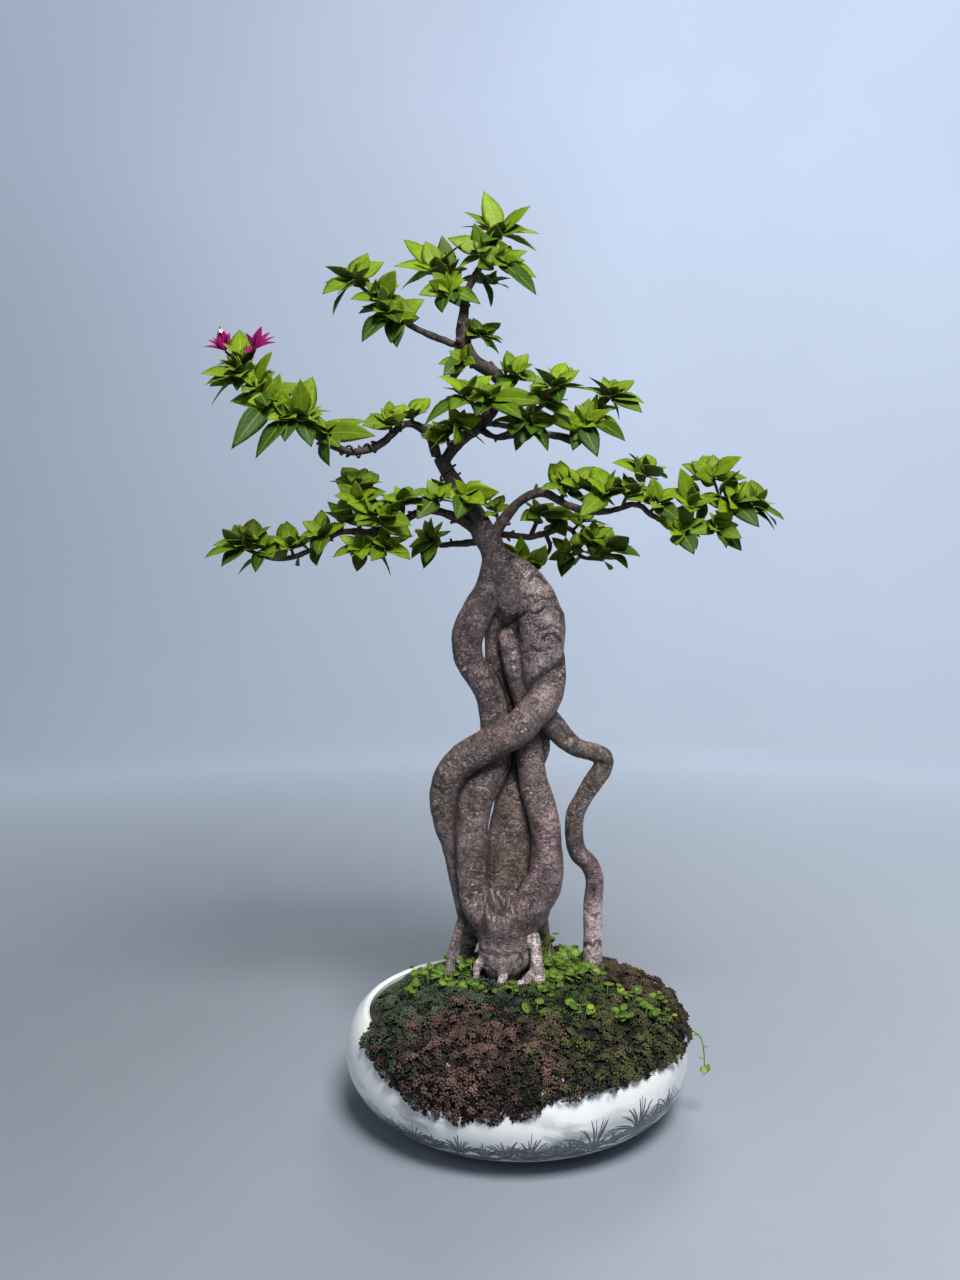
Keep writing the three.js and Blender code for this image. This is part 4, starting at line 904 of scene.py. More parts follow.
def relaxed(points, edges, rounds):
    """Points drawn towards their neighbours, which softens the joins between strands."""
    count = len(points)
    degree = np.bincount(edges.ravel(), minlength=count)[:, None]
    for _ in range(rounds):
        total = np.column_stack([
            np.bincount(edges[:, 0], points[edges[:, 1], k], count)
            + np.bincount(edges[:, 1], points[edges[:, 0], k], count) for k in range(3)])
        points = points * (1 - RELAX_SHARE) + total / degree * RELAX_SHARE
    return points


def strand_table():
    """Every strand's samples: centre, radius, length along, cross directions and strand number."""
    centres, radii, along, side_a, side_b, number = [], [], [], [], [], []
    for i, strand in enumerate(STRANDS):
        samples = evenly(strand, SAMPLE_SPACING)
        _, a, b = frames_along(samples[:, :3])
        centres.append(samples[:, :3])
        radii.append(samples[:, 3])
        along.append(np.arange(len(samples)) * SAMPLE_SPACING)
        side_a.append(a)
        side_b.append(b)
        number.append(np.full(len(samples), i))
    return [np.concatenate(column) for column in (centres, radii, along, side_a, side_b, number)]


POINTS_AT_ONCE = 3000
FAR_AWAY = 1e9


def nearest_strands(points):
    """For each point its nearest strand sample, and how near the second nearest strand's skin is."""
    centres, radii, along, side_a, side_b, number = strand_table()
    best = np.zeros(len(points), int)
    second = np.zeros(len(points))
    starts = np.array([np.argmax(number == i) for i in range(len(STRANDS))])
    for start in range(0, len(points), POINTS_AT_ONCE):
        block = points[start:start + POINTS_AT_ONCE]
        gap = np.linalg.norm(block[:, None] - centres[None], axis=2) - radii[None]
        here = np.argmin(gap, axis=1)
        best[start:start + POINTS_AT_ONCE] = here
        per_strand = np.minimum.reduceat(gap, starts, axis=1)
        per_strand[np.arange(len(block)), number[here]] = FAR_AWAY
        per_strand[:, FUSED_STRANDS] = FAR_AWAY
        second[start:start + POINTS_AT_ONCE] = per_strand.min(axis=1)
    offset = points - centres[best]
    across = np.sum(offset * side_a[best], axis=1)
    upright = np.sum(offset * side_b[best], axis=1)
    return number[best], along[best], radii[best], across, upright, second


def zone_strength(zones, strand, height):
    """How strongly the zones tint points of the given strands and heights, fading at each zone's ends."""
    strength = np.zeros(len(height))
    for which, low, high, amount in zones:
        inside = ((strand == which) * smoothstep(low - ZONE_FADE_OUT, low + ZONE_FADE_IN, height)
                  * smoothstep(high + ZONE_FADE_OUT, high - ZONE_FADE_IN, height))
        strength = np.maximum(strength, inside * amount)
    return strength


def scars_and_knots(points):
    """How far warts and knot holes raise the skin, and how dark they make it: a little on the warts, and with
    painted shade in the knot holes.
    """
    rise, scar_and_hollow_shade = np.zeros(len(points)), np.zeros(len(points))
    for centre, reach, height in WARTS:
        near = np.linalg.norm(points - centre, axis=1) / reach
        bell = np.exp(-(near ** 2) * 1.6)
        rise += bell * height * (1 + 0.5 * drift(points, 3.5, 23)) if height > 0 else bell * height
        scar_and_hollow_shade = np.maximum(scar_and_hollow_shade, bell if height < 0 else bell * 0.35)
    return rise, scar_and_hollow_shade


# The bark's relief: lumps of two sizes, ribs along each root and ring wrinkles round it, in millimetres.
BIG_LUMP, BIG_LUMP_RISE = 26, 1.0
SMALL_LUMP, SMALL_LUMP_RISE = 11, 0.45
RIB, RIB_RISE = 7.5, 0.32
RING_SPACING, RING_RISE = 7.5, 0.7
RING_WANDER, RING_JITTER = 9, 3.2
FULL_RELIEF_RADIUS = 14
CREASE_REACH, CREASE_CORE = 7, 0.5
CREASES_FROM, CREASES_TO = (178, 192), (572, 548)
STRAND_OFFSET = 300
LEAST_PINK_TONE_AND_HIGHLIGHT = 0.18


def grow_trunk(material):
    """The strands' shared skin with its relief, and the values that tint it."""
    mesh = merged_strands()
    edges = np.zeros(len(mesh.edges) * 2, np.int32)
    mesh.edges.foreach_get("vertices", edges)
    points = relaxed(points_of(mesh), edges.reshape(-1, 2), RELAX_ROUNDS)
    move_points(mesh, points)
    outwards = normals_of(mesh)
    strand, along, radius, across, upright, second = nearest_strands(points)
    height = points[:, 2]
    unrolled = np.column_stack([across, upright, along + strand * STRAND_OFFSET])
    grown_together = np.isin(strand, FUSED_STRANDS) | (strand >= FIRST_SOIL_ROOT)
    crease = smoothstep(CREASE_REACH, CREASE_CORE, second) * np.where(grown_together, 0.3, 1)
    crease *= smoothstep(*CREASES_FROM, height) * smoothstep(*CREASES_TO, height)
    calm = 1 - 0.7 * crease
    lumps = drift(points, BIG_LUMP) * BIG_LUMP_RISE + drift(points, SMALL_LUMP, 7) * SMALL_LUMP_RISE
    ribs = drift(unrolled * [1, 1, 0.5], RIB, 3) * RIB_RISE
    wander = drift(points, 34, 11) * RING_WANDER + drift(points, 9, 5) * RING_JITTER
    rings = np.sin((along + wander) * 2 * math.pi / RING_SPACING)
    wrinkly = 0.15 * (strand == CROSSING) + 0.12 * (strand == LEFT)
    rings = -np.maximum(rings, 0) ** 3 * smoothstep(0.15, 0.6, drift(points, 42, 19) + wrinkly)
    thick = np.clip(radius / FULL_RELIEF_RADIUS, 0.35, 1.15)
    bumps, scar_and_hollow_shade = scars_and_knots(points)
    rise = (lumps + ribs) * thick * calm + rings * RING_RISE * calm + bumps
    cracks = cracked(points, outwards)
    move_points(mesh, points + outwards * (rise - cracks)[:, None])
    patches = smoothstep(-0.25, 0.25, drift(points, 30, 31))
    # Pink tone in patches, partly the bark's own and partly painted highlight.
    blush = zone_strength(PINK_TONE_AND_HIGHLIGHT_ZONES, strand, height) * smoothstep(-0.5, 0.35, drift(points, 22, 37))
    # Painted shade: crease darkens the bark where strands meet, in the cracks and in the knot holes, and ring
    # darkens the grooves of the ring wrinkles and the knot holes. Ring also darkens the warts a little.
    dark = np.maximum(crease * smoothstep(9, 2, second), cracks * 0.8)
    point_values(
        mesh,
        ochre=zone_strength(OCHRE_ZONES, strand, height) * (0.5 + 0.5 * patches),
        blush=np.maximum(blush, LEAST_PINK_TONE_AND_HIGHLIGHT),
        dust=zone_strength(DUST_ZONES, strand, height),
        crease=np.maximum(dark, np.where(scar_and_hollow_shade > 0.4, scar_and_hollow_shade, 0)),
        ring=np.maximum(-rings, scar_and_hollow_shade * 0.6))
    grain = mesh.attributes.new("grain", "FLOAT_VECTOR", "POINT")
    grain.data.foreach_set("vector", (unrolled * MM).ravel())
    mesh.shade_smooth()
    set_piece("trunk_and_roots_bark", mesh, material, "root_bark", "trunk_and_roots")


# ------------------------------------------------------------------ woody branches and wires

BRANCHES = {
    "branch_leader": [[-79, 6, 680, 6.5], [-60, 2, 703, 6], [-39, -2, 718, 7], [-20, 8, 746, 6.5],
                      [-14, 12, 761, 7], [-22, 13, 775, 7], [-46, 10, 790, 7.5], [-57, 6, 812, 7],
                      [-56, 2, 840, 5.5], [-54, 1, 858, 5]],
    "branch_flowering": [[-85, 5, 688, 6], [-93, 0, 709, 5], [-115, -8, 719, 4], [-144, -18, 695, 4],
                         [-170, -26, 686, 4], [-195, -34, 695, 4], [-216, -41, 709, 4]],
    "branch_upper_left": [[-58, 7, 803, 4], [-89, 2, 813, 3.5], [-115, -6, 823, 3]],
    "branch_middle_right": [[-39, -2, 714, 4.5], [-21, -16, 703, 3], [-4, -26, 706, 6]],
    "branch_back_right": [[-37, 0, 722, 4], [-14, 19, 722, 3], [27, 36, 717, 3.5], [47, 42, 715, 4],
                          [63, 46, 712, 6]],
    "branch_low_left": [[-39, 0, 604, 6.5], [-62, -8, 620, 5], [-97, -17, 627, 4], [-122, -18, 614, 4],
                        [-149, -15, 605, 4.5], [-173, -10, 606, 3.5]],
    "branch_second_left": [[-33, 6, 597, 5], [-58, 22, 596, 3.5], [-83, 32, 595, 3]],
    "branch_low_right": [[-28, 0, 598, 7.5], [-12, -5, 621, 5.5], [4, -14, 638, 5], [25, -24, 645, 4.5],
                         [48, -34, 632, 4], [73, -42, 623, 3.5], [100, -48, 625, 3], [113, -50, 630, 3]],
    "branch_low_back": [[-24, 6, 603, 4], [-13, 16, 605, 3.5], [17, 34, 604, 3.5], [42, 44, 612, 3.5],
                        [55, 48, 616, 3.5]],
}
WIRE_RADIUS = 1.1
WIRE_STEPS_PER_TURN = 24

# The limb that a wire is wound on, between which shares of its length, the turns' radius and their number.
WIRES = {
    "training_wire_fork": (TRUNK_ABOVE_ROOTS, 0.1, 0.2, 10.6, 1.3),
    "training_wire_flowering": (BRANCHES["branch_flowering"], 0.52, 0.8, 5.8, 2.6),
}
BRANCH_SEED = 41
STUB_CHANCE = 0.30


def add_stubs(growth, samples, chance, count_from=3):
    """Short pruned stubs, thorns and swollen leaf scars along a limb."""
    tangents, side_a, side_b = frames_along(samples[:, :3])
    for i in range(count_from, len(samples) - 2):
        if chance.random() > STUB_CHANCE:
            continue
        turn = chance.random() * 2 * math.pi
        out = side_a[i] * math.cos(turn) + side_b[i] * math.sin(turn)
        lean = unit(out + tangents[i] * chance.uniform(-0.2, 0.7))
        centre, radius = samples[i, :3], samples[i, 3]
        length = chance.uniform(1.5, 5.0)
        foot = centre + out * radius * 0.5
        head = centre + lean * (radius + length)
        middle = (foot + head) / 2
        stub = [[*foot, radius * 0.55], [*middle, radius * 0.42 + 0.3], [*head, radius * 0.22 + 0.35]]
        add_tube(growth, stub, 6, 3, rough=0.25, rough_size=3, seed=i, young=0.15)


def grow_branches(material):
    """Woody branches, thicker at every other place of their route, with stubs along them."""
    chance = np.random.default_rng(BRANCH_SEED)
    for number, (name, route) in enumerate(BRANCHES.items()):
        growth = Growth()
        knotted = [[x, y, z, r * (0.94 + 0.12 * (i % 2))] for i, (x, y, z, r) in enumerate(route)]
        samples = add_tube(growth, knotted, 12, 3, rough=0.95, rough_size=7, seed=number * 5.0)
        add_stubs(growth, samples[::2], chance)
        set_piece(name + "_bark", growth.mesh(name), material, "branch_bark", name)


def coil(route, start, stop, coil_radius, turns):
    """A wire's centre line, wound round part of a route between two fractions of its length."""
    samples = evenly(route, 2)
    steps = round(turns * WIRE_STEPS_PER_TURN)
    at = np.linspace(start, stop, steps + 1) * (len(samples) - 1)
    centres = np.column_stack([np.interp(at, np.arange(len(samples)), samples[:, k]) for k in range(3)])
    way = unit(centres[-1] - centres[0])
    first = unit(np.array([0.0, 1.0, 0.0]) - way * way[1])
    second = np.cross(way, first)
    turn = np.linspace(0, turns * 2 * math.pi, steps + 1)[:, None]
    line = centres + (first * np.cos(turn) + second * np.sin(turn)) * coil_radius
    return np.column_stack([line, np.full(len(line), WIRE_RADIUS)])


def wind_wires(material):
    """Each wire as one coil."""
    for name, winding in WIRES.items():
        growth = Growth()
        add_tube(growth, coil(*winding), 10, 1.2)
        set_piece(name + "_coil", growth.mesh(name), material, "wire", name)


# ------------------------------------------------------------------ leafy shoots
# A shoot has a stem, tufts of leaves at [x, y, z] on twigs from the nearest place on the stem, and far leaves
# with the given tips, rooted at the nearest tuft. The rest of a tuft's leaves grow by one rule, and small
# tufts have fewer of them.

SHOOTS = {
    "apex": {
        "stem": [[-54, 1, 858, 4], [-39, 0, 885, 3.5], [-19, -2, 919, 2]],
        "tufts": [[-19, -2, 919], [-36, -9, 896], [-14, -20, 881], [-30, 24, 873]],
        "tips": [[-35, 8, 969], [14, -20, 941], [23, -14, 914], [-73, -8, 912], [-60, 14, 932],
                 [-9, -30, 878], [20, -12, 869], [18, -44, 841], [-56, 4, 944], [2, 8, 930], [21, 0, 901]],
    },
    "crown_left": {
        "stem": [[-57, 2, 850, 3], [-69, 4, 863, 2.6], [-86, 4, 884, 2]],
        "tufts": [[-86, 4, 884], [-74, -7, 858], [-72, 24, 882]],
        "tips": [[-121, 22, 922], [-129, -10, 882], [-80, 20, 926], [-125, 36, 873], [-78, -24, 829],
                 [-55, -20, 903], [-97, 10, 916], [-92, -24, 862]],
    },
    "upper_left": {
        "stem": [[-115, -6, 823, 2.8], [-135, -12, 837, 2.5], [-170, -20, 864, 1.8]],
        "tufts": [[-170, -20, 864], [-140, -21, 846], [-137, -22, 828], [-124, -20, 824]],
        "tips": [[-197, -36, 873], [-199, 2, 870], [-198, -46, 841], [-158, 4, 901], [-124, -40, 868],
                 [-159, -40, 795], [-189, -36, 823], [-124, -30, 792], [-140, 0, 890], [-178, -30, 856],
                 [-104, -32, 826], [-104, 4, 852]],
    },
    "neck_left": {
        "stem": [[-47, 11, 787, 2.4], [-59, -8, 783, 1.6]],
        "tufts": [[-59, -8, 783]],
        "tips": [[-77, -24, 765], [-70, 8, 794]],
        "size": 28,
    },
    "neck_right": {
        "stem": [[-58, 6, 811, 2.6], [-39, 16, 817, 1.8]],
        "tufts": [[-39, 16, 817]],
        "tips": [[-16, 32, 836], [-14, 0, 808], [-31, -8, 787], [-18, 26, 800]],
        "size": 34,
    },
    "centre_right": {
        "stem": [[-17, 13, 768, 2.6], [-3, -10, 771, 1.8]],
        "tufts": [[-3, -10, 771]],
        "tips": [[23, 6, 771], [-11, -2, 794], [-13, -22, 753], [9, 16, 790], [6, -36, 758], [16, -26, 776]],
        "size": 34,
    },
    "front_left": {
        "stem": [[-38, -3, 718, 3.5], [-44, -18, 732, 2.8], [-52, -30, 745, 2]],
        "tufts": [[-52, -30, 745]],
        "tips": [[-81, -48, 759], [-26, -20, 766], [-95, -50, 709], [-35, -54, 731], [-66, -10, 764]],
    },
    "front_right": {
        "stem": [[-27, 4, 735, 3], [-24, -22, 735, 2.4], [-29, -38, 738, 1.8]],
        "tufts": [[-29, -38, 738]],
        "tips": [[27, -62, 729], [3, -68, 711], [-6, -24, 759], [-47, -58, 746]],
    },
    "fork_leaves": {
        "stem": [[-70, 4, 693, 3], [-74, -13, 706, 1.8]],
        "tufts": [[-74, -13, 706], [-58, -22, 714]],
        "tips": [[-99, -30, 700], [-66, -44, 690], [-100, -24, 716], [-56, -2, 730]],
        "size": 34,
    },
    "middle_right": {
        "stem": [[-4, -26, 706, 4], [13, -36, 722, 3], [32, -46, 738, 2.4], [38, -48, 748, 2]],
        "tufts": [[38, -48, 748], [29, -36, 731], [14, -39, 710], [-2, -38, 716]],
        "tips": [[82, -62, 738], [56, -22, 774], [18, -66, 762], [9, -64, 744], [52, -62, 714],
                 [23, -54, 697], [49, -30, 777], [62, -44, 766], [12, -20, 748], [40, -70, 726],
                 [2, -50, 690]],
    },
    "far_right": {
        "stem": [[63, 46, 712, 4], [81, 44, 733, 3], [105, 42, 759, 2]],
        "tufts": [[105, 42, 759], [84, 30, 730], [72, 24, 724]],
        "tips": [[138, 20, 746], [135, 16, 735], [133, 58, 780], [77, 20, 775], [114, -4, 701],
                 [115, 48, 733], [29, -10, 723], [98, 56, 784], [112, 60, 782], [60, 14, 694], [86, 6, 686]],
    },
    "flower_spray": {
        "stem": [[-216, -41, 709, 3.8], [-232, -44, 719, 3.4], [-256, -45, 738, 3], [-275, -43, 755, 2.6],
                 [-280, -42, 774, 2]],
        "tufts": [[-280, -42, 774], [-279, -51, 761], [-265, -54, 748], [-250, -55, 731], [-232, -55, 716],
                  [-219, -51, 716]],
        "tips": [[-289, -14, 815], [-294, -66, 787], [-315, -68, 756], [-216, -72, 751], [-309, -72, 744],
                 [-317, -22, 734], [-281, -84, 679], [-258, -82, 670], [-227, -30, 756], [-206, -66, 684],
                 [-193, -22, 729], [-302, -50, 771], [-243, -70, 778], [-212, -20, 765], [-234, -76, 712]],
    },
    "flower_bend": {
        "stem": [[-195, -34, 695, 2.6], [-198, -43, 703, 1.8]],
        "tufts": [[-198, -43, 703]],
        "tips": [[-188, -66, 665], [-142, -66, 695], [-157, -22, 719], [-178, -64, 684]],
        "size": 34,
        "small_tufts": True,
    },
    "flower_arch": {
        "stem": [[-132, -13, 708, 2.4], [-132, -17, 719, 1.7]],
        "tufts": [[-132, -17, 719]],
        "tips": [[-134, 2, 745], [-159, -38, 711], [-112, 4, 734], [-114, -30, 724]],
        "size": 32,
    },
    "flower_arch_right": {
        "stem": [[-109, -6, 718, 2.2], [-111, -9, 728, 1.7]],
        "tufts": [[-111, -9, 728]],
        "tips": [[-92, 12, 750]],
        "size": 28,
        "small_tufts": True,
    },
    "low_left_upright": {
        "stem": [[-165, -11, 605, 2.6], [-167, -12, 632, 2.4], [-166, -12, 655, 2]],
        "tufts": [[-166, -12, 655], [-165, -22, 638]],
        "tips": [[-186, 10, 676], [-193, 8, 663], [-188, -34, 640], [-163, 14, 676], [-147, 14, 669],
                 [-135, -28, 645]],
        "size": 34,
        "small_tufts": True,
    },
    "low_left_inner": {
        "stem": [[-120, -18, 615, 2.8], [-118, -22, 636, 1.8]],
        "tufts": [[-118, -22, 636]],
        "tips": [[-115, 2, 655], [-93, -48, 640], [-134, 0, 647], [-96, -44, 629], [-139, -40, 636]],
        "size": 32,
    },
    "low_left_middle": {
        "stem": [[-149, -15, 605, 2.8], [-150, -33, 623, 1.8]],
        "tufts": [[-150, -33, 623], [-136, -30, 616]],
        "tips": [[-135, -6, 640], [-125, -60, 617], [-108, -50, 608], [-158, -8, 636], [-166, -50, 612]],
        "size": 32,
    },
    "low_left_under": {
        "stem": [[-162, -12, 605, 2.6], [-160, -17, 592, 2.2], [-146, -20, 586, 2], [-134, -22, 588, 1.6]],
        "tufts": [[-134, -22, 588], [-165, -24, 586]],
        "tips": [[-110, -42, 574], [-169, -42, 577], [-108, -4, 602], [-148, -40, 592]],
        "size": 34,
    },
    "low_left_outer": {
        "stem": [[-173, -10, 606, 3.3], [-188, -6, 605, 3.2], [-212, 0, 590, 3], [-243, 5, 579, 2.8],
                 [-261, 6, 579, 2.6], [-284, 5, 587, 2.2], [-294, 3, 592, 1.8]],
        "tufts": [[-294, 3, 592], [-280, 1, 599], [-267, -4, 590], [-240, 1, 592], [-206, -8, 605],
                  [-184, 2, 621]],
        "tips": [[-307, -20, 608], [-325, -26, 577], [-271, -26, 562], [-284, 24, 623], [-255, 28, 618],
                 [-247, 18, 620], [-192, 18, 629], [-216, 20, 625], [-303, 16, 616], [-312, 8, 588],
                 [-228, -20, 594], [-216, -18, 588]],
        "size": 34,
    },
    "second_left": {
        "stem": [[-83, 32, 595, 2.6], [-92, 28, 600, 2]],
        "tufts": [[-92, 28, 600]],
        "tips": [[-109, 4, 607], [-80, 52, 623], [-112, 4, 578], [-96, 0, 573], [-70, 48, 612]],
        "size": 34,
    },
    "trunk_middle": {
        "stem": [[-60, 2, 650, 2.4], [-54, -17, 643, 1.8]],
        "tufts": [[-54, -17, 643]],
        "tips": [[-63, -40, 615], [-19, -34, 644], [-38, 10, 660], [-34, -44, 630]],
        "size": 36,
        "small_tufts": True,
    },
    "trunk_left": {
        "stem": [[-64, 4, 656, 2.2], [-79, 10, 651, 1.6]],
        "tufts": [[-79, 10, 651]],
        "tips": [[-100, -4, 638], [-91, 0, 663]],
        "size": 26,
        "small_tufts": True,
    },
    "crotch": {
        "stem": [[-18, -2, 612, 2.4], [-23, 6, 632, 1.7]],
        "tufts": [[-23, 6, 632]],
        "tips": [[-13, 20, 648]],
        "size": 26,
    },
    "low_left_crook": {
        "stem": [[-84, -14, 626, 2.2], [-84, -21, 641, 1.6]],
        "tufts": [[-84, -21, 641]],
        "tips": [[-103, -44, 615], [-78, 0, 651]],
        "size": 30,
        "small_tufts": True,
    },
    "right_first": {
        "stem": [[43, -32, 635, 3], [51, -26, 650, 2.1]],
        "tufts": [[51, -26, 650], [68, -33, 649]],
        "tips": [[35, 2, 679], [68, 2, 672], [76, -48, 657], [22, -52, 644], [46, 0, 682], [80, -10, 664]],
    },
    "right_front": {
        "stem": [[83, -44, 624, 2.8], [88, -54, 640, 1.9]],
        "tufts": [[88, -54, 640]],
        "tips": [[78, -26, 675], [58, -84, 613], [103, -34, 660], [105, -78, 642], [66, -70, 652]],
        "size": 36,
        "small_tufts": True,
    },
    "right_second": {
        "stem": [[104, -48, 626, 2.1], [110, -53, 641, 1.8]],
        "tufts": [[110, -53, 641]],
        "tips": [[122, -76, 629], [118, -28, 660]],
        "size": 34,
        "small_tufts": True,
    },
    "right_outer": {
        "stem": [[113, -50, 630, 2.8], [123, -50, 628, 2.8], [131, -50, 621, 2.8], [151, -49, 611, 2.7],
                 [181, -46, 609, 3.2], [210, -44, 618, 2.6], [240, -40, 631, 1.8]],
        "tufts": [[240, -40, 631], [130, -38, 663], [140, -58, 632], [172, -54, 630], [196, -46, 659],
                  [216, -52, 633], [200, -52, 603], [161, -54, 600]],
        "tips": [[92, -64, 669], [136, -10, 687], [160, -62, 665], [192, -18, 684], [220, -70, 674],
                 [223, -76, 649], [243, -18, 659], [247, -62, 644], [263, -66, 612], [272, -14, 611],
                 [221, -66, 594], [155, -74, 586], [169, -22, 655], [112, -20, 680], [156, -16, 660],
                 [178, -30, 676], [172, -70, 646], [232, -20, 640], [206, -80, 622], [236, -74, 604],
                 [188, -74, 602], [254, -20, 638]],
        "small_tufts": True,
    },
    "back_first": {
        "stem": [[16, 33, 604, 2.8], [27, 38, 630, 1.9]],
        "tufts": [[27, 38, 630]],
        "tips": [[66, 14, 624], [13, 62, 642], [4, 20, 620], [50, 60, 634]],
        "size": 36,
    },
    "back_second": {
        "stem": [[42, 44, 612, 2.4], [43, 38, 624, 1.7]],
        "tufts": [[43, 38, 624]],
        "tips": [[32, 56, 640], [53, 12, 602], [62, 56, 626]],
        "size": 30,
    },
    "back_outer": {
        "stem": [[55, 48, 616, 3], [64, 52, 612, 2.8], [69, 54, 600, 2.6], [72, 54, 585, 2.4],
                 [97, 54, 580, 1.8]],
        "tufts": [[97, 54, 580], [87, 46, 604], [107, 54, 592], [58, 57, 586], [76, 46, 624]],
        "tips": [[123, 26, 603], [110, 70, 617], [136, 30, 582], [101, 24, 567], [47, 36, 572],
                 [122, 70, 598], [70, 20, 606], [84, 26, 584]],
        "size": 34,
        "small_tufts": True,
    },
    "loop_leaves": {
        "stem": [[33, 40, 607, 2.5], [38, 38, 594, 2.3], [33, 34, 584, 2.2], [9, 27, 578, 2],
                 [-2, 25, 582, 1.6]],
        "tufts": [[-2, 25, 582], [16, 28, 569]],
        "tips": [[31, 2, 593], [23, 12, 560], [-14, 10, 596], [-10, 10, 576]],
        "size": 28,
        "small_tufts": True,
    },
}
LEAF_SEED = 100
LEAF_LENGTH = 36
LEAVES_PER_TUFT = 8
LEAVES_ON_SMALL_TUFT = 7
LEAF_HALF_WIDTH = 0.305
WIDEST_LEAF = 11.5
LEAF_FOLD = 0.15
LEAF_ROOT = 1.6
LEAF_DROOP = 0.14
YOUNG_LEAF_SPREAD = 0.75
OLD_LEAF_SPREAD = 1.6
YOUNG_LEAF_SCALE = 0.55
TUFT_PHASE = 1.7
TWIG_LEAF_SPACING = 11
STEM_LEAF_SPACING = 13
NODE_MARGIN = 9.0
FRONT = np.array([0.0, -1.0, 0.0])

# How far along the blade each ring lies, and how its outline swells and then draws out to the point.
BLADE_RINGS = np.array([0.0, 0.07, 0.13, 0.22, 0.34, 0.48, 0.63, 0.78, 0.91])
OUTLINE_SWELL = 0.58
OUTLINE_DRAW = 1.05
STALK_SHARE = 0.1
STALK_THICKNESS = 0.6
LEAST_HALF_WIDTH = 0.55
MIDRIB_ARCH = 0.46
MARGIN_WAVES, MARGIN_WAVE_RISE = 9, 0.05

# Round each ring: how far across the blade, on its upper or lower face, and how much of the underside shows.
RING_ACROSS = [-1, -0.55, 0, 0.55, 1, 0.55, 0, -0.55]
RING_FACE = [0, 1, 1, 1, 0, -1, -1, -1]
RING_UNDER = [0.3, 0, 0, 0, 0.3, 1, 1, 1]


def leaf_outline(t):
    """The half width along a blade, 1 at its widest."""
    widest = OUTLINE_SWELL / (OUTLINE_SWELL + OUTLINE_DRAW)
    peak = widest ** OUTLINE_SWELL * (1 - widest) ** OUTLINE_DRAW
    return t ** OUTLINE_SWELL * (1 - t) ** OUTLINE_DRAW / peak


def add_blade(growth, root, tip, bend, up, half_width, chance, age=0.5, thickness=0.28, fold=LEAF_FOLD,
              bloom=0.0):
    """A closed leaf on a bent midrib: it leaves the twig towards bend and faces up."""
    length = np.linalg.norm(tip - root)
    u = BLADE_RINGS[:, None]
    middle = root + bend * length * MIDRIB_ARCH
    rib = root * (1 - u) ** 2 + middle * 2 * u * (1 - u) + tip * u ** 2
    across = unit(np.cross(tip - root, up))
    tangents = unit(np.gradient(np.vstack([rib, tip]), axis=0))[:-1]
    face = unit(np.cross(across[None], tangents))
    blade = np.clip((u - STALK_SHARE) / (1 - STALK_SHARE), 0, 1)
    outline = leaf_outline(blade) * half_width * length
    wide = np.maximum(outline, LEAST_HALF_WIDTH)
    thick = np.maximum(thickness, np.where(u < STALK_SHARE, STALK_THICKNESS, 0))
    wave = np.sin(u * MARGIN_WAVES + chance.random() * 6.3) * MARGIN_WAVE_RISE * outline
    tilt = fold * outline
    rings = []
    for step, top in zip(RING_ACROSS, RING_FACE):
        lift = abs(step) ** 1.4 * tilt + wave * step * abs(step) + top * thick
        rings.append(rib + across * wide * step + face * lift)
    points = np.vstack([np.stack(rings, axis=1).reshape(-1, 3), tip])
    count, around = len(BLADE_RINGS), len(RING_ACROSS)
    end = count * around
    here = np.arange(around)
    cap = np.stack([end - around + here, end - around + (here + 1) % around, np.full(around, end)], 1)
    growth.add(points, [grid_faces(count, around), cap, [list(range(around))[::-1]]],
               edge=np.append(np.tile(np.abs(RING_ACROSS), count), 1.0),
               along=np.append(np.repeat(BLADE_RINGS, around), 1.0),
               under=np.append(np.tile(RING_UNDER, count), 0.3),
               shade=chance.random(), age=age, bloom=bloom)


def tuft_frames(shoot):
    """Each tuft's end, the way it points, and where its twig leaves the stem if it has one."""
    stem = evenly(shoot["stem"], 2)
    tangents = frames_along(stem[:, :3])[0]
    frames = []
    for tuft in np.array(shoot["tufts"], float):
        away = np.linalg.norm(stem[:, :3] - tuft, axis=1)
        at = int(np.argmin(away))
        if away[at] < 2:
            frames.append((tuft, tangents[at], None))
        else:
            frames.append((tuft, unit(tuft - stem[at, :3]), stem[at, :3]))
    return frames


def grow_shoot_wood(name, shoot, material, seed):
    """Stem and twigs, swollen at the leaf scars."""
    growth = Growth()
    chance = np.random.default_rng(seed)
    samples = add_tube(growth, shoot["stem"], 8, 3, rough=0.5, rough_size=5, seed=seed, young=0.45)
    add_stubs(growth, samples[::3], chance, 1)
    for end, heading, base in tuft_frames(shoot):
        if base is None:
            continue
        middle = (base + end) / 2 + drift([end], 7)[0] * 1.5
        twig = [[*base, 2.0], [*middle, 1.6], [*end, 1.25]]
        add_tube(growth, twig, 7, 3, rough=0.3, rough_size=4, seed=seed, young=0.9)
        bud = [[*(end - heading * 2), 1.9], [*end, 1.9], [*(end + heading * 2.5), 1.0]]
        add_tube(growth, bud, 7, 2, rough=0.3, rough_size=3, seed=seed, young=1.0)
    set_piece(name + "_wood", growth.mesh(name + "_wood"), material, "branch_bark")


def towards_light(heading, chance):
    """The way a tuft opens: up and to the tree's front, leaning along its twig."""
    return unit(heading * 0.4 + UP * 0.62 + FRONT * 0.42 + chance.normal(0, 0.2, 3))


def leaf_age_and_hang_shade(direction, age):
    """Leaves that hang steeply are darker: older, and in painted shade."""
    return age + 4.0 * max(0.0, -direction[2] - 0.35)


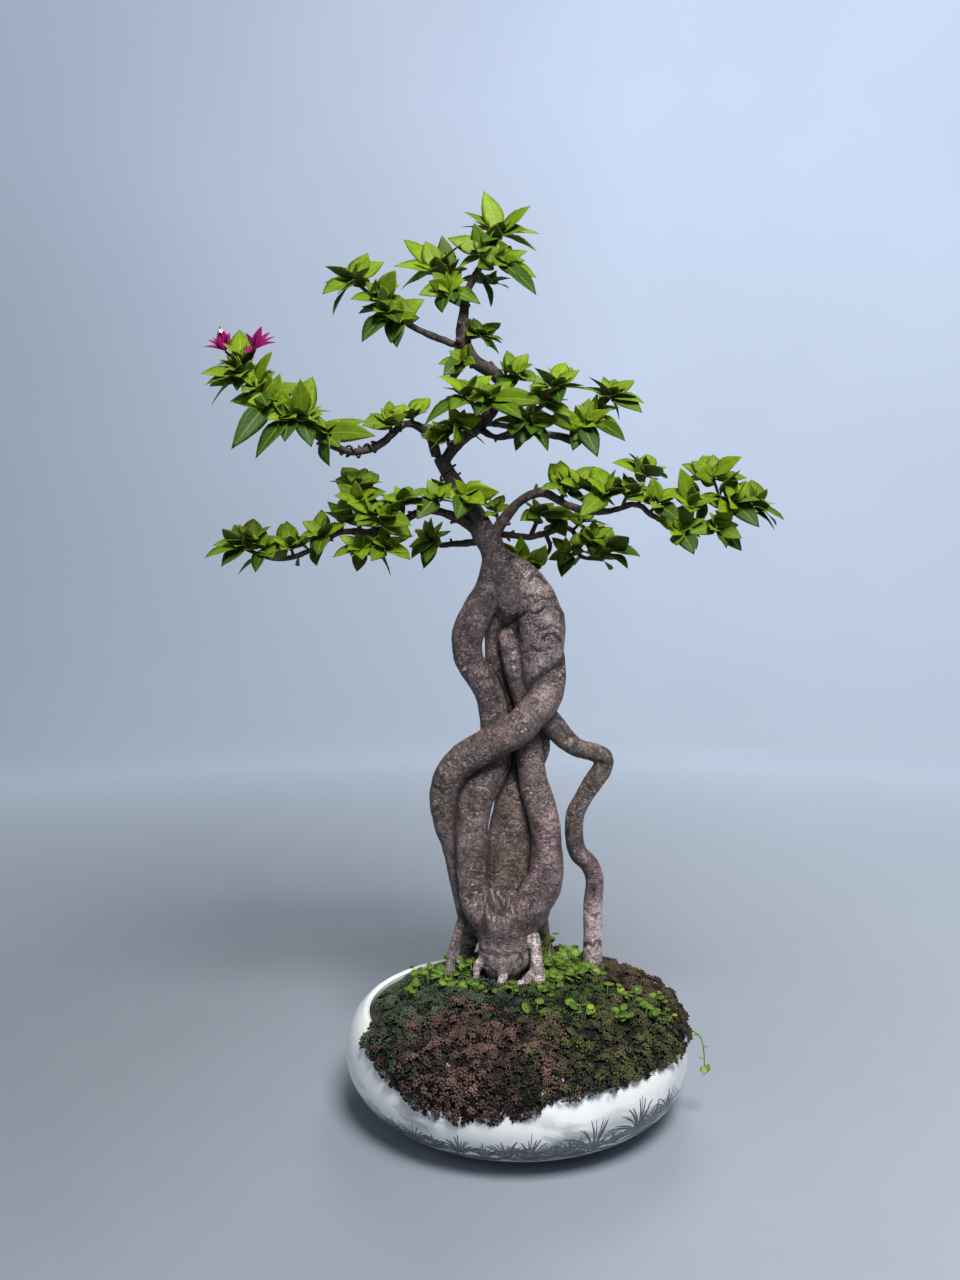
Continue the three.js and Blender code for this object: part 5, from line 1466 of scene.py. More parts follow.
def add_leaf(growth, root, tip, axis, lift, age, box, chance):
    """One leaf that arches from its root and shows its face along an axis."""
    tip = np.minimum(np.maximum(tip, box[0]), box[1])
    direction = unit(tip - root)
    facing = axis + chance.normal(0, 0.24, 3)
    half_width = min(LEAF_HALF_WIDTH * chance.uniform(0.86, 1.12), WIDEST_LEAF / np.linalg.norm(tip - root))
    add_blade(growth, root, tip, unit(direction + axis * lift), facing, half_width, chance,
              leaf_age_and_hang_shade(direction, age))


def add_tuft(growth, end, heading, count, size, phase, box, chance):
    """Leaves spread round a twig's end, from the small young ones inside to the old ones that droop."""
    axis = towards_light(heading, chance)
    start = unit(np.array([1.0, 0.0, 0.0]) - axis * axis[0])
    other = np.cross(axis, start)
    for k in range(count):
        old = k / (count - 1)
        turn = k * GOLDEN_ANGLE + phase
        sideways = start * math.cos(turn) + other * math.sin(turn)
        spread = YOUNG_LEAF_SPREAD + (OLD_LEAF_SPREAD - YOUNG_LEAF_SPREAD) * old
        spread += chance.uniform(-0.12, 0.12)
        length = size * (YOUNG_LEAF_SCALE + (1 - YOUNG_LEAF_SCALE) * old) * chance.uniform(0.86, 1.08)
        tip = end + (axis * math.cos(spread) + sideways * math.sin(spread)) * length
        tip[2] += length * (0.08 - LEAF_DROOP * old)
        root = end - heading * LEAF_ROOT * (1 + 2.5 * old)
        add_leaf(growth, root, tip, axis, 0.35, 0.1 + 0.6 * old, box, chance)


def add_leaves_along(growth, route, spacing, skip, size, box, chance):
    """Single leaves by turns along a stem or a twig, past its bare foot."""
    samples = evenly(route, spacing)[:, :3]
    tangents, side_a, side_b = frames_along(samples)
    phase = chance.random() * 6
    for i in range(max(1, round(len(samples) * skip)), len(samples) - 1):
        turn = i * GOLDEN_ANGLE + phase
        out = side_a[i] * math.cos(turn) + side_b[i] * math.sin(turn)
        direction = unit(out + tangents[i] * 0.4 + UP * 0.3 + FRONT * 0.15)
        tip = samples[i] + direction * size * chance.uniform(0.62, 0.98)
        axis = towards_light(tangents[i], chance)
        add_leaf(growth, samples[i], tip, axis, 0.3, chance.uniform(0.3, 0.8), box, chance)


def grow_leaves(name, shoot, material, seed):
    """All leaves of a shoot: the far ones, the tufts, and those along its twigs and its stem."""
    growth = Growth()
    chance = np.random.default_rng(seed)
    low, high = (np.array(corner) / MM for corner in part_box("leaves_" + name))
    box = np.maximum(low - NODE_MARGIN, LOW_LIMIT), np.minimum(high + NODE_MARGIN, HIGH_LIMIT)
    frames = tuft_frames(shoot)
    ends = np.array([end for end, _, _ in frames])
    for tip in np.array(shoot["tips"], float):
        end, heading, _ = frames[int(np.argmin(np.linalg.norm(ends - tip, axis=1)))]
        axis = unit(towards_light(heading, chance) + FRONT * 0.3)
        add_leaf(growth, end - heading * LEAF_ROOT, tip, axis, 0.3, chance.uniform(0.15, 0.75), box, chance)
    size = shoot.get("size", LEAF_LENGTH)
    count = LEAVES_ON_SMALL_TUFT if shoot.get("small_tufts") else LEAVES_PER_TUFT
    for number, (end, heading, base) in enumerate(frames):
        add_tuft(growth, end, heading, count, size, number * TUFT_PHASE, box, chance)
        if base is not None:
            add_leaves_along(growth, [base, end], TWIG_LEAF_SPACING, 0.25, size, box, chance)
    stem = [place[:3] for place in shoot["stem"]]
    add_leaves_along(growth, stem, STEM_LEAF_SPACING, 0.3, size, box, chance)
    set_piece("leaves_" + name + "_blades", growth.mesh("leaves_" + name), material, "leaf", "leaves_" + name)


def grow_shoots(leaf, wood):
    """Every shoot as one piece of wood and one of leaves."""
    for seed, (name, shoot) in enumerate(SHOOTS.items()):
        grow_shoot_wood("shoot_" + name, shoot, wood, seed)
        grow_leaves(name, shoot, leaf, seed + LEAF_SEED)


# ------------------------------------------------------------------ bracts
# A flower's stem, the heart that its bracts spread from and, where one is open, its small bloom. Each bract
# is a tip [x, y, z] and half its width as a share of its length.

FLOWERS = {
    "flower_bracts_left": {
        "stem": [[-281, -44, 772, 1.4], [-288, -50, 777, 1.3], [-294, -53, 782, 1.3]],
        "heart": [-294, -53, 782], "bloom": [-297, -58, 801],
        "tips": [[-299, -57, 806, 0.25], [-289, -64, 796, 0.15], [-314, -49, 795, 0.09],
                 [-315, -59, 785, 0.09], [-304, -67, 792, 0.12], [-292, -43, 804, 0.14]],
    },
    "flower_bracts_right": {
        "stem": [[-279, -42, 770, 1.4], [-270, -47, 777, 1.3], [-265, -51, 784, 1.3]],
        "heart": [-265, -51, 784],
        "tips": [[-257, -55, 807, 0.19], [-272, -61, 799, 0.13], [-245, -47, 799, 0.09],
                 [-242, -57, 790, 0.11], [-259, -68, 795, 0.18], [-251, -42, 805, 0.11],
                 [-271, -64, 777, 0.28]],
    },
}
BLOOM_LOBES = 5
FLOWER_SEED = 500


def open_bracts(material):
    """Bracts spread from each flower's heart, and a small bloom where one is open."""
    for seed, (name, flower) in enumerate(FLOWERS.items()):
        growth = Growth()
        chance = np.random.default_rng(seed + FLOWER_SEED)
        add_tube(growth, flower["stem"], 7, 2, rough=0.15, rough_size=4, seed=seed, shade=0.9, age=1.0)
        heart = np.array(flower["heart"], float)
        for x, y, z, half_width in flower["tips"]:
            tip = np.array([x, y, z], float)
            outwards = unit(tip - heart)
            add_blade(growth, heart - outwards, tip, unit(outwards + UP * 0.5), FRONT + UP * 0.6,
                      half_width * chance.uniform(0.95, 1.1), chance, chance.random(), fold=0.35)
        bloom = np.array(flower.get("bloom", heart), float)
        neck = (heart + bloom) / 2
        add_tube(growth, [[*heart, 0.8], [*(neck + UP), 0.9], [*(bloom + UP * 2), 1.0]], 6, 3, shade=0.6)
        for k in range(BLOOM_LOBES if "bloom" in flower else 0):
            turn = k * 2 * math.pi / BLOOM_LOBES
            out = np.array([math.cos(turn), -0.5, math.sin(turn)])
            add_blade(growth, bloom, bloom + unit(out) * 3, unit(out), FRONT + UP * 0.2, 0.36, chance,
                      age=0, thickness=0.15, fold=0.1, bloom=1.0)
        set_piece(name + "_open", growth.mesh(name), material, "bract", name)


# ------------------------------------------------------------------ bowl

POT_HIGH = np.array(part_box("pot")[1]) / MM
BELLY_RADIUS = POT_HIGH[0]
RIM_HEIGHT = POT_HIGH[2]
FOOT_RADIUS = 112
BELLY_HEIGHT = 62
RIM_RADIUS = 164
MOUTH_RADIUS = 156
RIM_EDGE_HEIGHT = 103
WALL = 8
FLOOR = 9
FOOT_BEVEL = 1.5
DRAIN_RADIUS = 8
DRAIN_RING = 40
DRAIN_COUNT = 3
DRILL_HEIGHTS = (-10, 5, 20)
FLOOR_RING = DRAIN_RING + 20
BOWL_SIDES = 192
SHARP_ANGLE = 40
INK_PROUD, INK_SINK = 0.16, -0.3


def bezier(points, count):
    """Points along a cubic curve with the four given control points."""
    t = np.linspace(0, 1, count)[:, None]
    a, b, c, d = np.array(points, float)
    return a * (1 - t) ** 3 + b * 3 * t * (1 - t) ** 2 + c * 3 * t ** 2 * (1 - t) + d * t ** 3


def bowl_outside():
    """The outer wall from the foot to the rim's outer edge, as radius and height."""
    low = bezier([(FOOT_RADIUS, 0), (BELLY_RADIUS - 30, WALL), (BELLY_RADIUS, BELLY_HEIGHT / 2),
                  (BELLY_RADIUS, BELLY_HEIGHT)], 22)
    high = bezier([(BELLY_RADIUS, BELLY_HEIGHT), (BELLY_RADIUS, BELLY_HEIGHT + 20),
                   (RIM_RADIUS + 10, RIM_EDGE_HEIGHT - 7), (RIM_RADIUS, RIM_EDGE_HEIGHT)], 16)
    low[0] += (-FOOT_BEVEL, 0)
    low[1:3, 1] += 0.2
    return np.vstack([low, high[1:]])


def bowl_inside(clearance=0.0):
    """The inner wall from the middle of the floor to the mouth."""
    belly, mouth = BELLY_RADIUS - WALL - clearance, MOUTH_RADIUS - clearance
    low = bezier([(FOOT_RADIUS - WALL / 2 - clearance, FLOOR + clearance),
                  (belly - 26, FLOOR + WALL + clearance), (belly, BELLY_HEIGHT - 28),
                  (belly, BELLY_HEIGHT)], 16)
    high = bezier([(belly, BELLY_HEIGHT), (belly, BELLY_HEIGHT + 22), (mouth, RIM_EDGE_HEIGHT - 13),
                   (mouth, RIM_EDGE_HEIGHT - 4)], 10)
    return np.vstack([low, high[1:]])


def rolled_rim():
    """The lip's rounded top from its outer edge to the mouth."""
    t = np.linspace(0, 1, 9)[1:, None]
    start, end = np.array([RIM_RADIUS, RIM_EDGE_HEIGHT]), np.array([MOUTH_RADIUS, RIM_EDGE_HEIGHT])
    crest = np.array([(RIM_RADIUS + MOUTH_RADIUS) / 2, 2 * RIM_HEIGHT - RIM_EDGE_HEIGHT])
    return start * (1 - t) ** 2 + crest * 2 * t * (1 - t) + end * t ** 2


def turned(profile, sides, name):
    """A closed round solid from a profile that starts and ends on the axis, given without those ends."""
    turn = circle(sides)
    rings = np.stack([profile[:, :1] * np.cos(turn), profile[:, :1] * np.sin(turn),
                      np.repeat(profile[:, 1:], sides, axis=1)], axis=-1)
    points = np.vstack([rings.reshape(-1, 3), [[0, 0, profile[0, 1]], [0, 0, profile[-1, 1]]]])
    growth = Growth()
    growth.add(points, [grid_faces(len(profile), sides), end_fans(len(profile), sides)])
    return growth.mesh(name)


def drain_drill(number):
    """A round solid that cuts one drain hole."""
    bearing = math.pi / 2 + number * 2 * math.pi / DRAIN_COUNT
    x, y = DRAIN_RING * math.cos(bearing), DRAIN_RING * math.sin(bearing)
    growth = Growth()
    add_tube(growth, [[x, y, z, DRAIN_RADIUS] for z in DRILL_HEIGHTS], 40, 15)
    return placed("drill", growth.mesh("drill"))


def turn_bowl(material):
    """The bowl with its drain holes cut."""
    profile = np.vstack([[(FLOOR_RING, 0)], bowl_outside(), rolled_rim(), bowl_inside()[::-1],
                         [(FLOOR_RING, FLOOR)]])
    bowl = placed("bowl", turned(profile, BOWL_SIDES, "bowl"))
    drills = [drain_drill(i) for i in range(DRAIN_COUNT)]
    for drill in drills:
        cut = bowl.modifiers.new("drain_hole", "BOOLEAN")
        cut.operation = "DIFFERENCE"
        cut.solver = "EXACT"
        cut.object = drill
    mesh = evaluated_mesh(bowl, "bowl")
    for drill in drills:
        bpy.data.objects.remove(drill)
    mesh.shade_smooth()
    mesh.set_sharp_from_angle(angle=math.radians(SHARP_ANGLE))
    set_piece("glazed_bowl", mesh, material, "glaze", "pot")


def on_bowl(bearing, height, proud=INK_PROUD):
    """A place on the outer wall at a bearing in degrees and a height."""
    outside = bowl_outside()
    radius = np.interp(height, outside[:, 1], outside[:, 0]) + proud
    turn = np.radians(bearing)
    return np.stack([radius * np.cos(turn), radius * np.sin(turn), height], axis=-1)


def add_stroke(growth, bearings, heights, widths, fade):
    """A tapering brush stroke that follows the wall."""
    lean = np.degrees(widths / BELLY_RADIUS)
    along_b, along_h = np.gradient(bearings) * math.radians(1) * BELLY_RADIUS, np.gradient(heights)
    size = np.hypot(along_b, along_h) + 1e-6
    side_b, side_h = -along_h / size, along_b / size
    left = bearings + side_b * lean, heights + side_h * widths
    right = bearings - side_b * lean, heights - side_h * widths
    rings = np.stack([on_bowl(*left), on_bowl(*right), on_bowl(*right, INK_SINK), on_bowl(*left, INK_SINK)],
                     axis=1)
    count = len(bearings)
    last = (count - 1) * 4
    ends = [[3, 2, 1, 0]], [[last, last + 1, last + 2, last + 3]]
    growth.add(rings.reshape(-1, 3), [grid_faces(count, 4), *ends], fade=fade)


# The reeds stand on a shore that rises to the right of one bearing. Each clump has a bearing and a size.
REED_SEED = 77
REEDS_FROM, REEDS_TO = -138, -34
SHORE_RISES_FROM, SHORE_SLOPE = -75, 0.42
WATER_STROKES = 95
WATER_HEIGHTS = 20, 36
REED_ROOT_HEIGHT = 25
REED_LENGTHS = 18, 36
REED_CLUMPS = [(-134, 0.7), (-126, 0.9), (-119, 0.6), (-110, 0.8), (-102, 0.6), (-95, 0.9), (-88, 1.0),
               (-81, 0.7), (-75, 0.9), (-68, 1.2), (-61, 0.6), (-52, 1.2), (-45, 0.8), (-38, 0.9)]


def shore(bearing):
    """How far the shore rises at a bearing."""
    return max(0, bearing - SHORE_RISES_FROM) * SHORE_SLOPE


def paint_reeds(material):
    """Clumps of reeds in ink that fan out from their roots, over level strokes of water."""
    growth = Growth()
    chance = np.random.default_rng(REED_SEED)
    t = np.linspace(0, 1, 12)
    for _ in range(WATER_STROKES):
        start, span = chance.uniform(REEDS_FROM, REEDS_TO), chance.uniform(4, 13)
        heights = chance.uniform(*WATER_HEIGHTS) + shore(start) + np.sin(t * 4 + chance.random() * 6) * 0.8
        widths = chance.uniform(0.4, 1.9) * np.sin(math.pi * (0.06 + 0.88 * t)) ** 0.6
        add_stroke(growth, start + span * t, heights, widths, chance.uniform(0.0, 1.0))
    for clump, size in REED_CLUMPS:
        blades = int(13 * size) + 6
        for k in range(blades):
            fan = 2 * (k + chance.uniform(-0.5, 0.5)) / (blades - 1) - 1
            root = REED_ROOT_HEIGHT + chance.uniform(-1, 3) + shore(clump)
            reach = chance.uniform(*REED_LENGTHS) * size * (1 - 0.45 * abs(fan))
            bearings = clump + fan * 1.5 + fan * 9 * size * t ** 1.6
            heights = root + reach * (t - 0.35 * abs(fan) * t ** 3)
            widths = chance.uniform(0.5, 1.5) * (0.25 + 0.9 * t ** 0.3 * (1 - t) ** 0.7)
            add_stroke(growth, bearings, heights, widths, chance.uniform(0, 0.45))
    set_piece("painted_reeds", growth.mesh("painted_reeds"), material, "glaze")


# ------------------------------------------------------------------ soil, cover and small leaves

MOUND_EDGE_HEIGHT = 99
MOUND_HEIGHT = 132
SOIL_GAP = 0.6
SOIL_SIDES = 200
GRAVEL_TOP = 24.3

# The cover's cross-section from the axis outwards, as radius and height. A step is a share of the way along
# it, and the cover reaches out to a certain step at each bearing.
COVER_TOP = [(0, 141), (60, 139), (110, 130), (150, 119), (176, 108), (188, 94), (190, 78), (188, 60),
             (184, 50)]
COVER_REACH = [(-180, 0.38), (-158, 0.42), (-142, 0.66), (-125, 0.81), (-114, 0.90), (-99, 0.89), (-88, 0.78),
               (-80, 0.69), (-54, 0.65), (-39, 0.66), (-15, 0.6), (0, 0.58), (15, 0.5), (30, 0.43),
               (60, 0.39), (90, 0.38), (180, 0.38)]
COVER_CURVE_STEPS = 20
COVER_SINK = 8.5
SPILL_SINK = 5.0

# Behind and to the left the cover sinks inside the rim: between these bearings, from one step to another.
BACK_DIP = 15
DIP_FROM, DIP_TO, DIP_BLEND = 95, 215, 25
DIP_INNER_STEP, DIP_OUTER_STEP = 0.12, 0.38
COVER_THICKNESS = 9
CUSHION_REACH = 15
CUSHION_RISE = 5.5
FRONT_BAND = 0.21
TRUNK_FOOT = (-14, -5)
TRUNK_KEEP_OUT = 27
PURPLE_FROM, OLIVE_FROM, BROWN_FROM, BROWN_TO = -135, -80, -20, 90
KINDS = ("green", "purple", "olive", "brown")
KINDS_MINGLE = 9
SPRIG_SIZE = 4.3
SPRIGS = 12000
COVER_LIMIT = 0.93
COVER_SEED = 91
CELL_TURN, CELL_STEP = 2.5, 0.015

# Each floret is a small dome of sprigs; each cushion is a big one of florets.
FLORETS = 2500
FLORET_REACH = 4.6
FLORET_RISE = 3.2
CUSHIONS = 420


def fill_soil(material):
    """A crumbly mound that fills the bowl above the grit."""
    mound = bezier([(MOUTH_RADIUS - SOIL_GAP, MOUND_EDGE_HEIGHT), (125, 104), (80, 130), (0.5, MOUND_HEIGHT)],
                   60)
    wall = bowl_inside(SOIL_GAP)
    wall = wall[(wall[:, 1] < MOUND_EDGE_HEIGHT - 2) & (wall[:, 1] > GRAVEL_TOP + 1)]
    base = [[20.0, GRAVEL_TOP], [wall[0, 0], GRAVEL_TOP]]
    mesh = turned(np.vstack([base, wall, mound]), SOIL_SIDES, "soil")
    points = points_of(mesh)
    reach = np.hypot(points[:, 0], points[:, 1])
    loose = smoothstep(MOUND_EDGE_HEIGHT - 4, MOUND_EDGE_HEIGHT, points[:, 2]) * smoothstep(
        MOUTH_RADIUS - 0.5, MOUTH_RADIUS - 5, reach)
    rise = drift(points, 16, 2) * 1.4 + drift(points, 5, 4) * 1.2 - 0.8
    points[:, 2] += np.minimum(rise, 1.2) * loose
    move_points(mesh, points)
    set_piece("crumbly_soil", mesh, material, "earth", "soil")


def back_dip(bearing, step):
    """How far the cover sinks at a bearing and step."""
    turn = bearing % 360
    around = smoothstep(DIP_FROM, DIP_FROM + DIP_BLEND, turn) - smoothstep(DIP_TO - DIP_BLEND, DIP_TO, turn)
    return BACK_DIP * around * smoothstep(DIP_INNER_STEP, DIP_OUTER_STEP, step)


def cover_place(bearing, step):
    """Places on the cover's sunken base and the ways they face, at bearings in degrees and steps up to 1."""
    rows = dense_curve([[r, 0, z] for r, z in COVER_TOP], COVER_CURVE_STEPS)[:, [0, 2]]
    ends = dense_curve_steps(len(COVER_TOP), COVER_CURVE_STEPS)
    radius = np.interp(step, ends, rows[:, 0])
    height = np.interp(step, ends, rows[:, 1])
    slope_r, slope_z = (np.interp(step + 0.01, ends, column) - np.interp(step - 0.01, ends, column)
                        for column in rows.T)
    size = np.hypot(slope_r, slope_z)
    out, rise = -slope_z / size, slope_r / size
    turn = np.radians(bearing)
    sink = COVER_SINK + SPILL_SINK * out
    radius, height = radius - out * sink, height - rise * sink - back_dip(bearing, step)
    place = np.stack([radius * np.cos(turn), radius * np.sin(turn), height], axis=-1)
    facing = np.stack([out * np.cos(turn), out * np.sin(turn), rise], axis=-1)
    return place, facing


def dense_curve_steps(count, per_span):
    """Where each point of dense_curve lies, as a share of the route's spans."""
    return np.linspace(0, 1, (count - 1) * per_span + 1)


def reach_at(bearing):
    """How far out the cover grows at a bearing, as a step."""
    limits, reaches = zip(*COVER_REACH)
    return np.interp((np.asarray(bearing) + 180) % 360 - 180, limits, reaches)


def cover_kind(bearing, step, place, chance=None):
    """Which kind of cover grows at a place: the borders wander, and given chance the kinds mingle there."""
    turn = (bearing + 180) % 360 - 180 + drift(place, 18, 51) * 7
    inner = FRONT_BAND + drift(place, 20, 57) * 0.03
    if chance is not None:
        turn = turn + chance.normal(0, KINDS_MINGLE, len(turn))
        inner = inner + chance.normal(0, KINDS_MINGLE * 0.004, len(turn))
    kind = np.zeros(len(turn), int)
    front = step > inner
    kind[front & (turn >= PURPLE_FROM) & (turn < OLIVE_FROM)] = 1
    kind[front & (turn >= OLIVE_FROM) & (turn < BROWN_FROM)] = 2
    kind[front & (turn >= BROWN_FROM) & (turn < BROWN_TO)] = 3
    return kind


def dome_lift(place, domes, reach):
    """How high domes stand at places, 0 in a hollow and 1 on a crown, the way off it, and which dome."""
    lift, away, which = np.zeros(len(place)), np.zeros((len(place), 3)), np.zeros(len(place), int)
    for i, spot in enumerate(place):
        centre, which[i], distance = domes.find(spot)
        lift[i] = 1 - min(distance / reach, 1) ** 2
        away[i] = (spot - np.array(centre)) / reach
    return lift, away, which


def ragged(place):
    """How far the cover's edge strays, as a step."""
    return drift(place, 12, 61) * 0.022


def scatter_cover(chance, count):
    """Random places on the cover, spread evenly over its area, clear of the trunk."""
    tries = count * 6
    bearing, step = chance.uniform(-180, 180, tries), chance.uniform(0, COVER_LIMIT, tries)
    place, _ = cover_place(bearing, step)
    beyond, before = (cover_place(bearing, step + way)[0] for way in (0.005, -0.005))
    room = np.hypot(place[:, 0], place[:, 1]) * np.linalg.norm(beyond - before, axis=1)
    even = chance.random(tries) * room.max() < room
    from_trunk = np.hypot(place[:, 0] - TRUNK_FOOT[0], place[:, 1] - TRUNK_FOOT[1])
    off_trunk = from_trunk > TRUNK_KEEP_OUT + chance.uniform(-3, 3, tries)
    edge = reach_at(bearing) + ragged(place)
    kept = even & off_trunk & (step < edge)
    return bearing[kept][:count], step[kept][:count]


def plant_domes(chance, count):
    """The domes' crowns for looking up, and the kind of cover that grows on each."""
    bearing, step = scatter_cover(chance, count)
    place, _ = cover_place(bearing, step)
    domes = KDTree(len(place))
    for i, spot in enumerate(place):
        domes.insert(spot, i)
    domes.balance()
    return domes, cover_kind(bearing, step, place, chance)


# A leaflet is a flat double pyramid: its root, tip, two sides, top and underside, in that order.
LEAFLETS = 4
LEAFLET_FACES = [(0, 2, 4), (2, 1, 4), (1, 3, 4), (3, 0, 4), (2, 0, 5), (1, 2, 5), (3, 1, 5), (0, 3, 5)]


def sprig_shape(spread, length, seed):
    """One sprig: small plump leaflets round a centre, as points and faces."""
    points, faces = [], []
    chance = np.random.default_rng(seed)
    for k in range(LEAFLETS):
        turn = k * 2 * math.pi / LEAFLETS + chance.uniform(-0.3, 0.3)
        out = unit(np.array([math.cos(turn), math.sin(turn), spread * chance.uniform(0.7, 1.3)]))
        side = unit(np.cross(out, UP))
        top = np.cross(side, out)
        middle = out * length * 0.58
        base = k * 6
        points += [out * 0.05, out * length, middle + side * 0.36, middle - side * 0.36, middle + top * 0.22,
                   middle - top * 0.2]
        faces += [[base + corner for corner in face] for face in LEAFLET_FACES]
    return np.array(points), np.array(faces)


def frames_facing(facing, chance):
    """A turned set of axes for each direction, as three columns."""
    helper = unit(chance.normal(size=facing.shape))
    first = unit(np.cross(facing, helper))
    return np.stack([first, np.cross(facing, first), facing], axis=-1)


def grow_cover(materials):
    """Each kind of cover as one piece: its mat, and sprigs on florets on cushions."""
    chance = np.random.default_rng(COVER_SEED)
    cushions, _ = plant_domes(chance, CUSHIONS)
    florets, kinds = plant_domes(chance, FLORETS)
    tones = chance.random(len(kinds))
    bearing, step = scatter_cover(chance, SPRIGS)
    place, facing = cover_place(bearing, step)
    lift, away, _ = dome_lift(place, cushions, CUSHION_REACH)
    floret, splay, which = dome_lift(place, florets, FLORET_REACH)
    kind = kinds[which]
    place = place + facing * (lift * CUSHION_RISE + floret * FLORET_RISE)[:, None]
    facing = unit(facing + away * 0.7 + splay * 0.8 + chance.normal(0, 0.2, facing.shape))
    axes = frames_facing(facing, chance)
    scale = SPRIG_SIZE * chance.uniform(0.7, 1.25, len(place))
    shade = tones[which] * 0.65 + chance.random(len(place)) * 0.35
    shapes = [sprig_shape(0.7, 1.0, 1), sprig_shape(1.1, 0.9, 2), sprig_shape(0.45, 0.95, 3)]
    variant = chance.integers(0, len(shapes), len(place))
    for number, name in enumerate(KINDS):
        growth = Growth()
        add_cover_skin(growth, number, cushions)
        for v, (shape, faces) in enumerate(shapes):
            chosen = np.flatnonzero((kind == number) & (variant == v))
            turned_shapes = np.einsum("nij,mj->nmi", axes[chosen], shape)
            points = place[chosen][:, None] + turned_shapes * scale[chosen][:, None, None]
            spot = np.arange(len(chosen))[:, None, None] * len(shape)
            reach = np.linalg.norm(shape, axis=1)
            # How high each point stands, which the painted shade in the hollows follows.
            height = (0.25 * lift[chosen] + 0.55 * floret[chosen])[:, None] + 0.55 * reach[None] - 0.5
            growth.add(points.reshape(-1, 3), [(spot + faces[None]).reshape(-1, 3)],
                       shade=np.repeat(shade[chosen], len(shape)), lift=np.clip(height, 0, 1).ravel())
        set_piece(f"moss_{name}_cushions", growth.mesh("moss_" + name), materials[number], name + "_moss",
                  "moss_" + name)


def add_cover_skin(growth, number, cushions):
    """The lumpy mat under one kind's sprigs: a closed skin of small cells over its own area."""
    bearings, steps = np.arange(-180, 180, CELL_TURN), np.arange(0.05, 0.95, CELL_STEP)
    turn, way = np.meshgrid(bearings, steps, indexing="ij")
    place, facing = cover_place(turn.ravel(), way.ravel())
    kind = cover_kind(turn.ravel(), way.ravel(), place)
    edge = reach_at(turn.ravel()) - 0.012 + ragged(place)
    inside = (kind == number) & (way.ravel() < edge)
    lift = dome_lift(place, cushions, CUSHION_REACH)[0]
    top = place + facing * (lift * CUSHION_RISE * 0.9)[:, None]
    under = place - facing * COVER_THICKNESS
    inside, columns, rows = inside.reshape(turn.shape), len(bearings), len(steps)
    index = np.arange(columns * rows).reshape(columns, rows)
    cell = inside & np.roll(inside, -1, 0)
    cell[:, :-1] &= inside[:, 1:] & np.roll(inside, -1, 0)[:, 1:]
    cell[:, -1] = False
    c, r = np.nonzero(cell)
    after = (c + 1) % columns
    upper = np.stack([index[c, r], index[c, r + 1], index[after, r + 1], index[after, r]], 1)
    total = columns * rows
    faces = [upper, upper[:, ::-1] + total]
    for (dc, dr), (a, b) in (((-1, 0), (0, 1)), ((1, 0), (2, 3)), ((0, 1), (1, 2)), ((0, -1), (3, 0))):
        beside = np.roll(cell, (-dc, -dr), (0, 1))
        if dr == 1:
            beside[:, -1] = False
        if dr == -1:
            beside[:, 0] = False
        open_side = cell[c, r] & ~beside[c, r]
        edge_quads = upper[open_side]
        faces.append(np.stack([edge_quads[:, b], edge_quads[:, a], edge_quads[:, a] + total,
                               edge_quads[:, b] + total], 1))
    used = np.unique(np.vstack(faces))
    renumbered = np.full(2 * total, -1)
    renumbered[used] = np.arange(len(used))
    points = np.vstack([top, under])[used]
    # The mat lies all in the hollows' painted shade.
    growth.add(points, [renumbered[group] for group in faces], shade=0.2, lift=0.0)


# Where the small round leaves crowd: [x, y], how far they spread, how many, and how much higher some grow.
ROUND_LEAF_SPOTS = [([40, -22], 15, 34, 3), ([62, -8], 14, 26, 3), ([30, -48], 10, 12, 0),
                    ([78, 8], 12, 16, 3), ([-8, -52], 9, 9, 0), ([30, 20], 10, 38, 36), ([44, 8], 11, 30, 18)]
STRAY_LEAF_SPOTS = [([110, -40], 14, 16, 0), ([96, -88], 9, 8, 0), ([130, -66], 9, 8, 0),
                    ([60, -84], 10, 8, 0), ([142, -30], 8, 6, 0), ([-42, -52], 9, 9, 0), ([18, -86], 9, 5, 0),
                    ([70, 52], 14, 10, 4), ([-70, -40], 10, 9, 0), ([-82, -14], 10, 10, 3),
                    ([-60, 34], 12, 14, 8), ([150, -60], 8, 6, 0), ([-98, 6], 14, 16, 3),
                    ([-112, -28], 10, 7, 0), ([-66, -10], 9, 9, 3), ([-50, -6], 6, 12, 10)]
ROUND_LEAF_SEED = 131
ROUND_LEAF_SIZES = 5, 11.5
ROUND_LEAF_SIDES = 11
STALK_HEIGHTS = 1.5, 7


def cover_height(x, y):
    """The cover's crown height over a place."""
    radius = math.hypot(x, y)
    radii, heights = zip(*COVER_TOP[:5])
    return float(np.interp(radius, radii, heights))


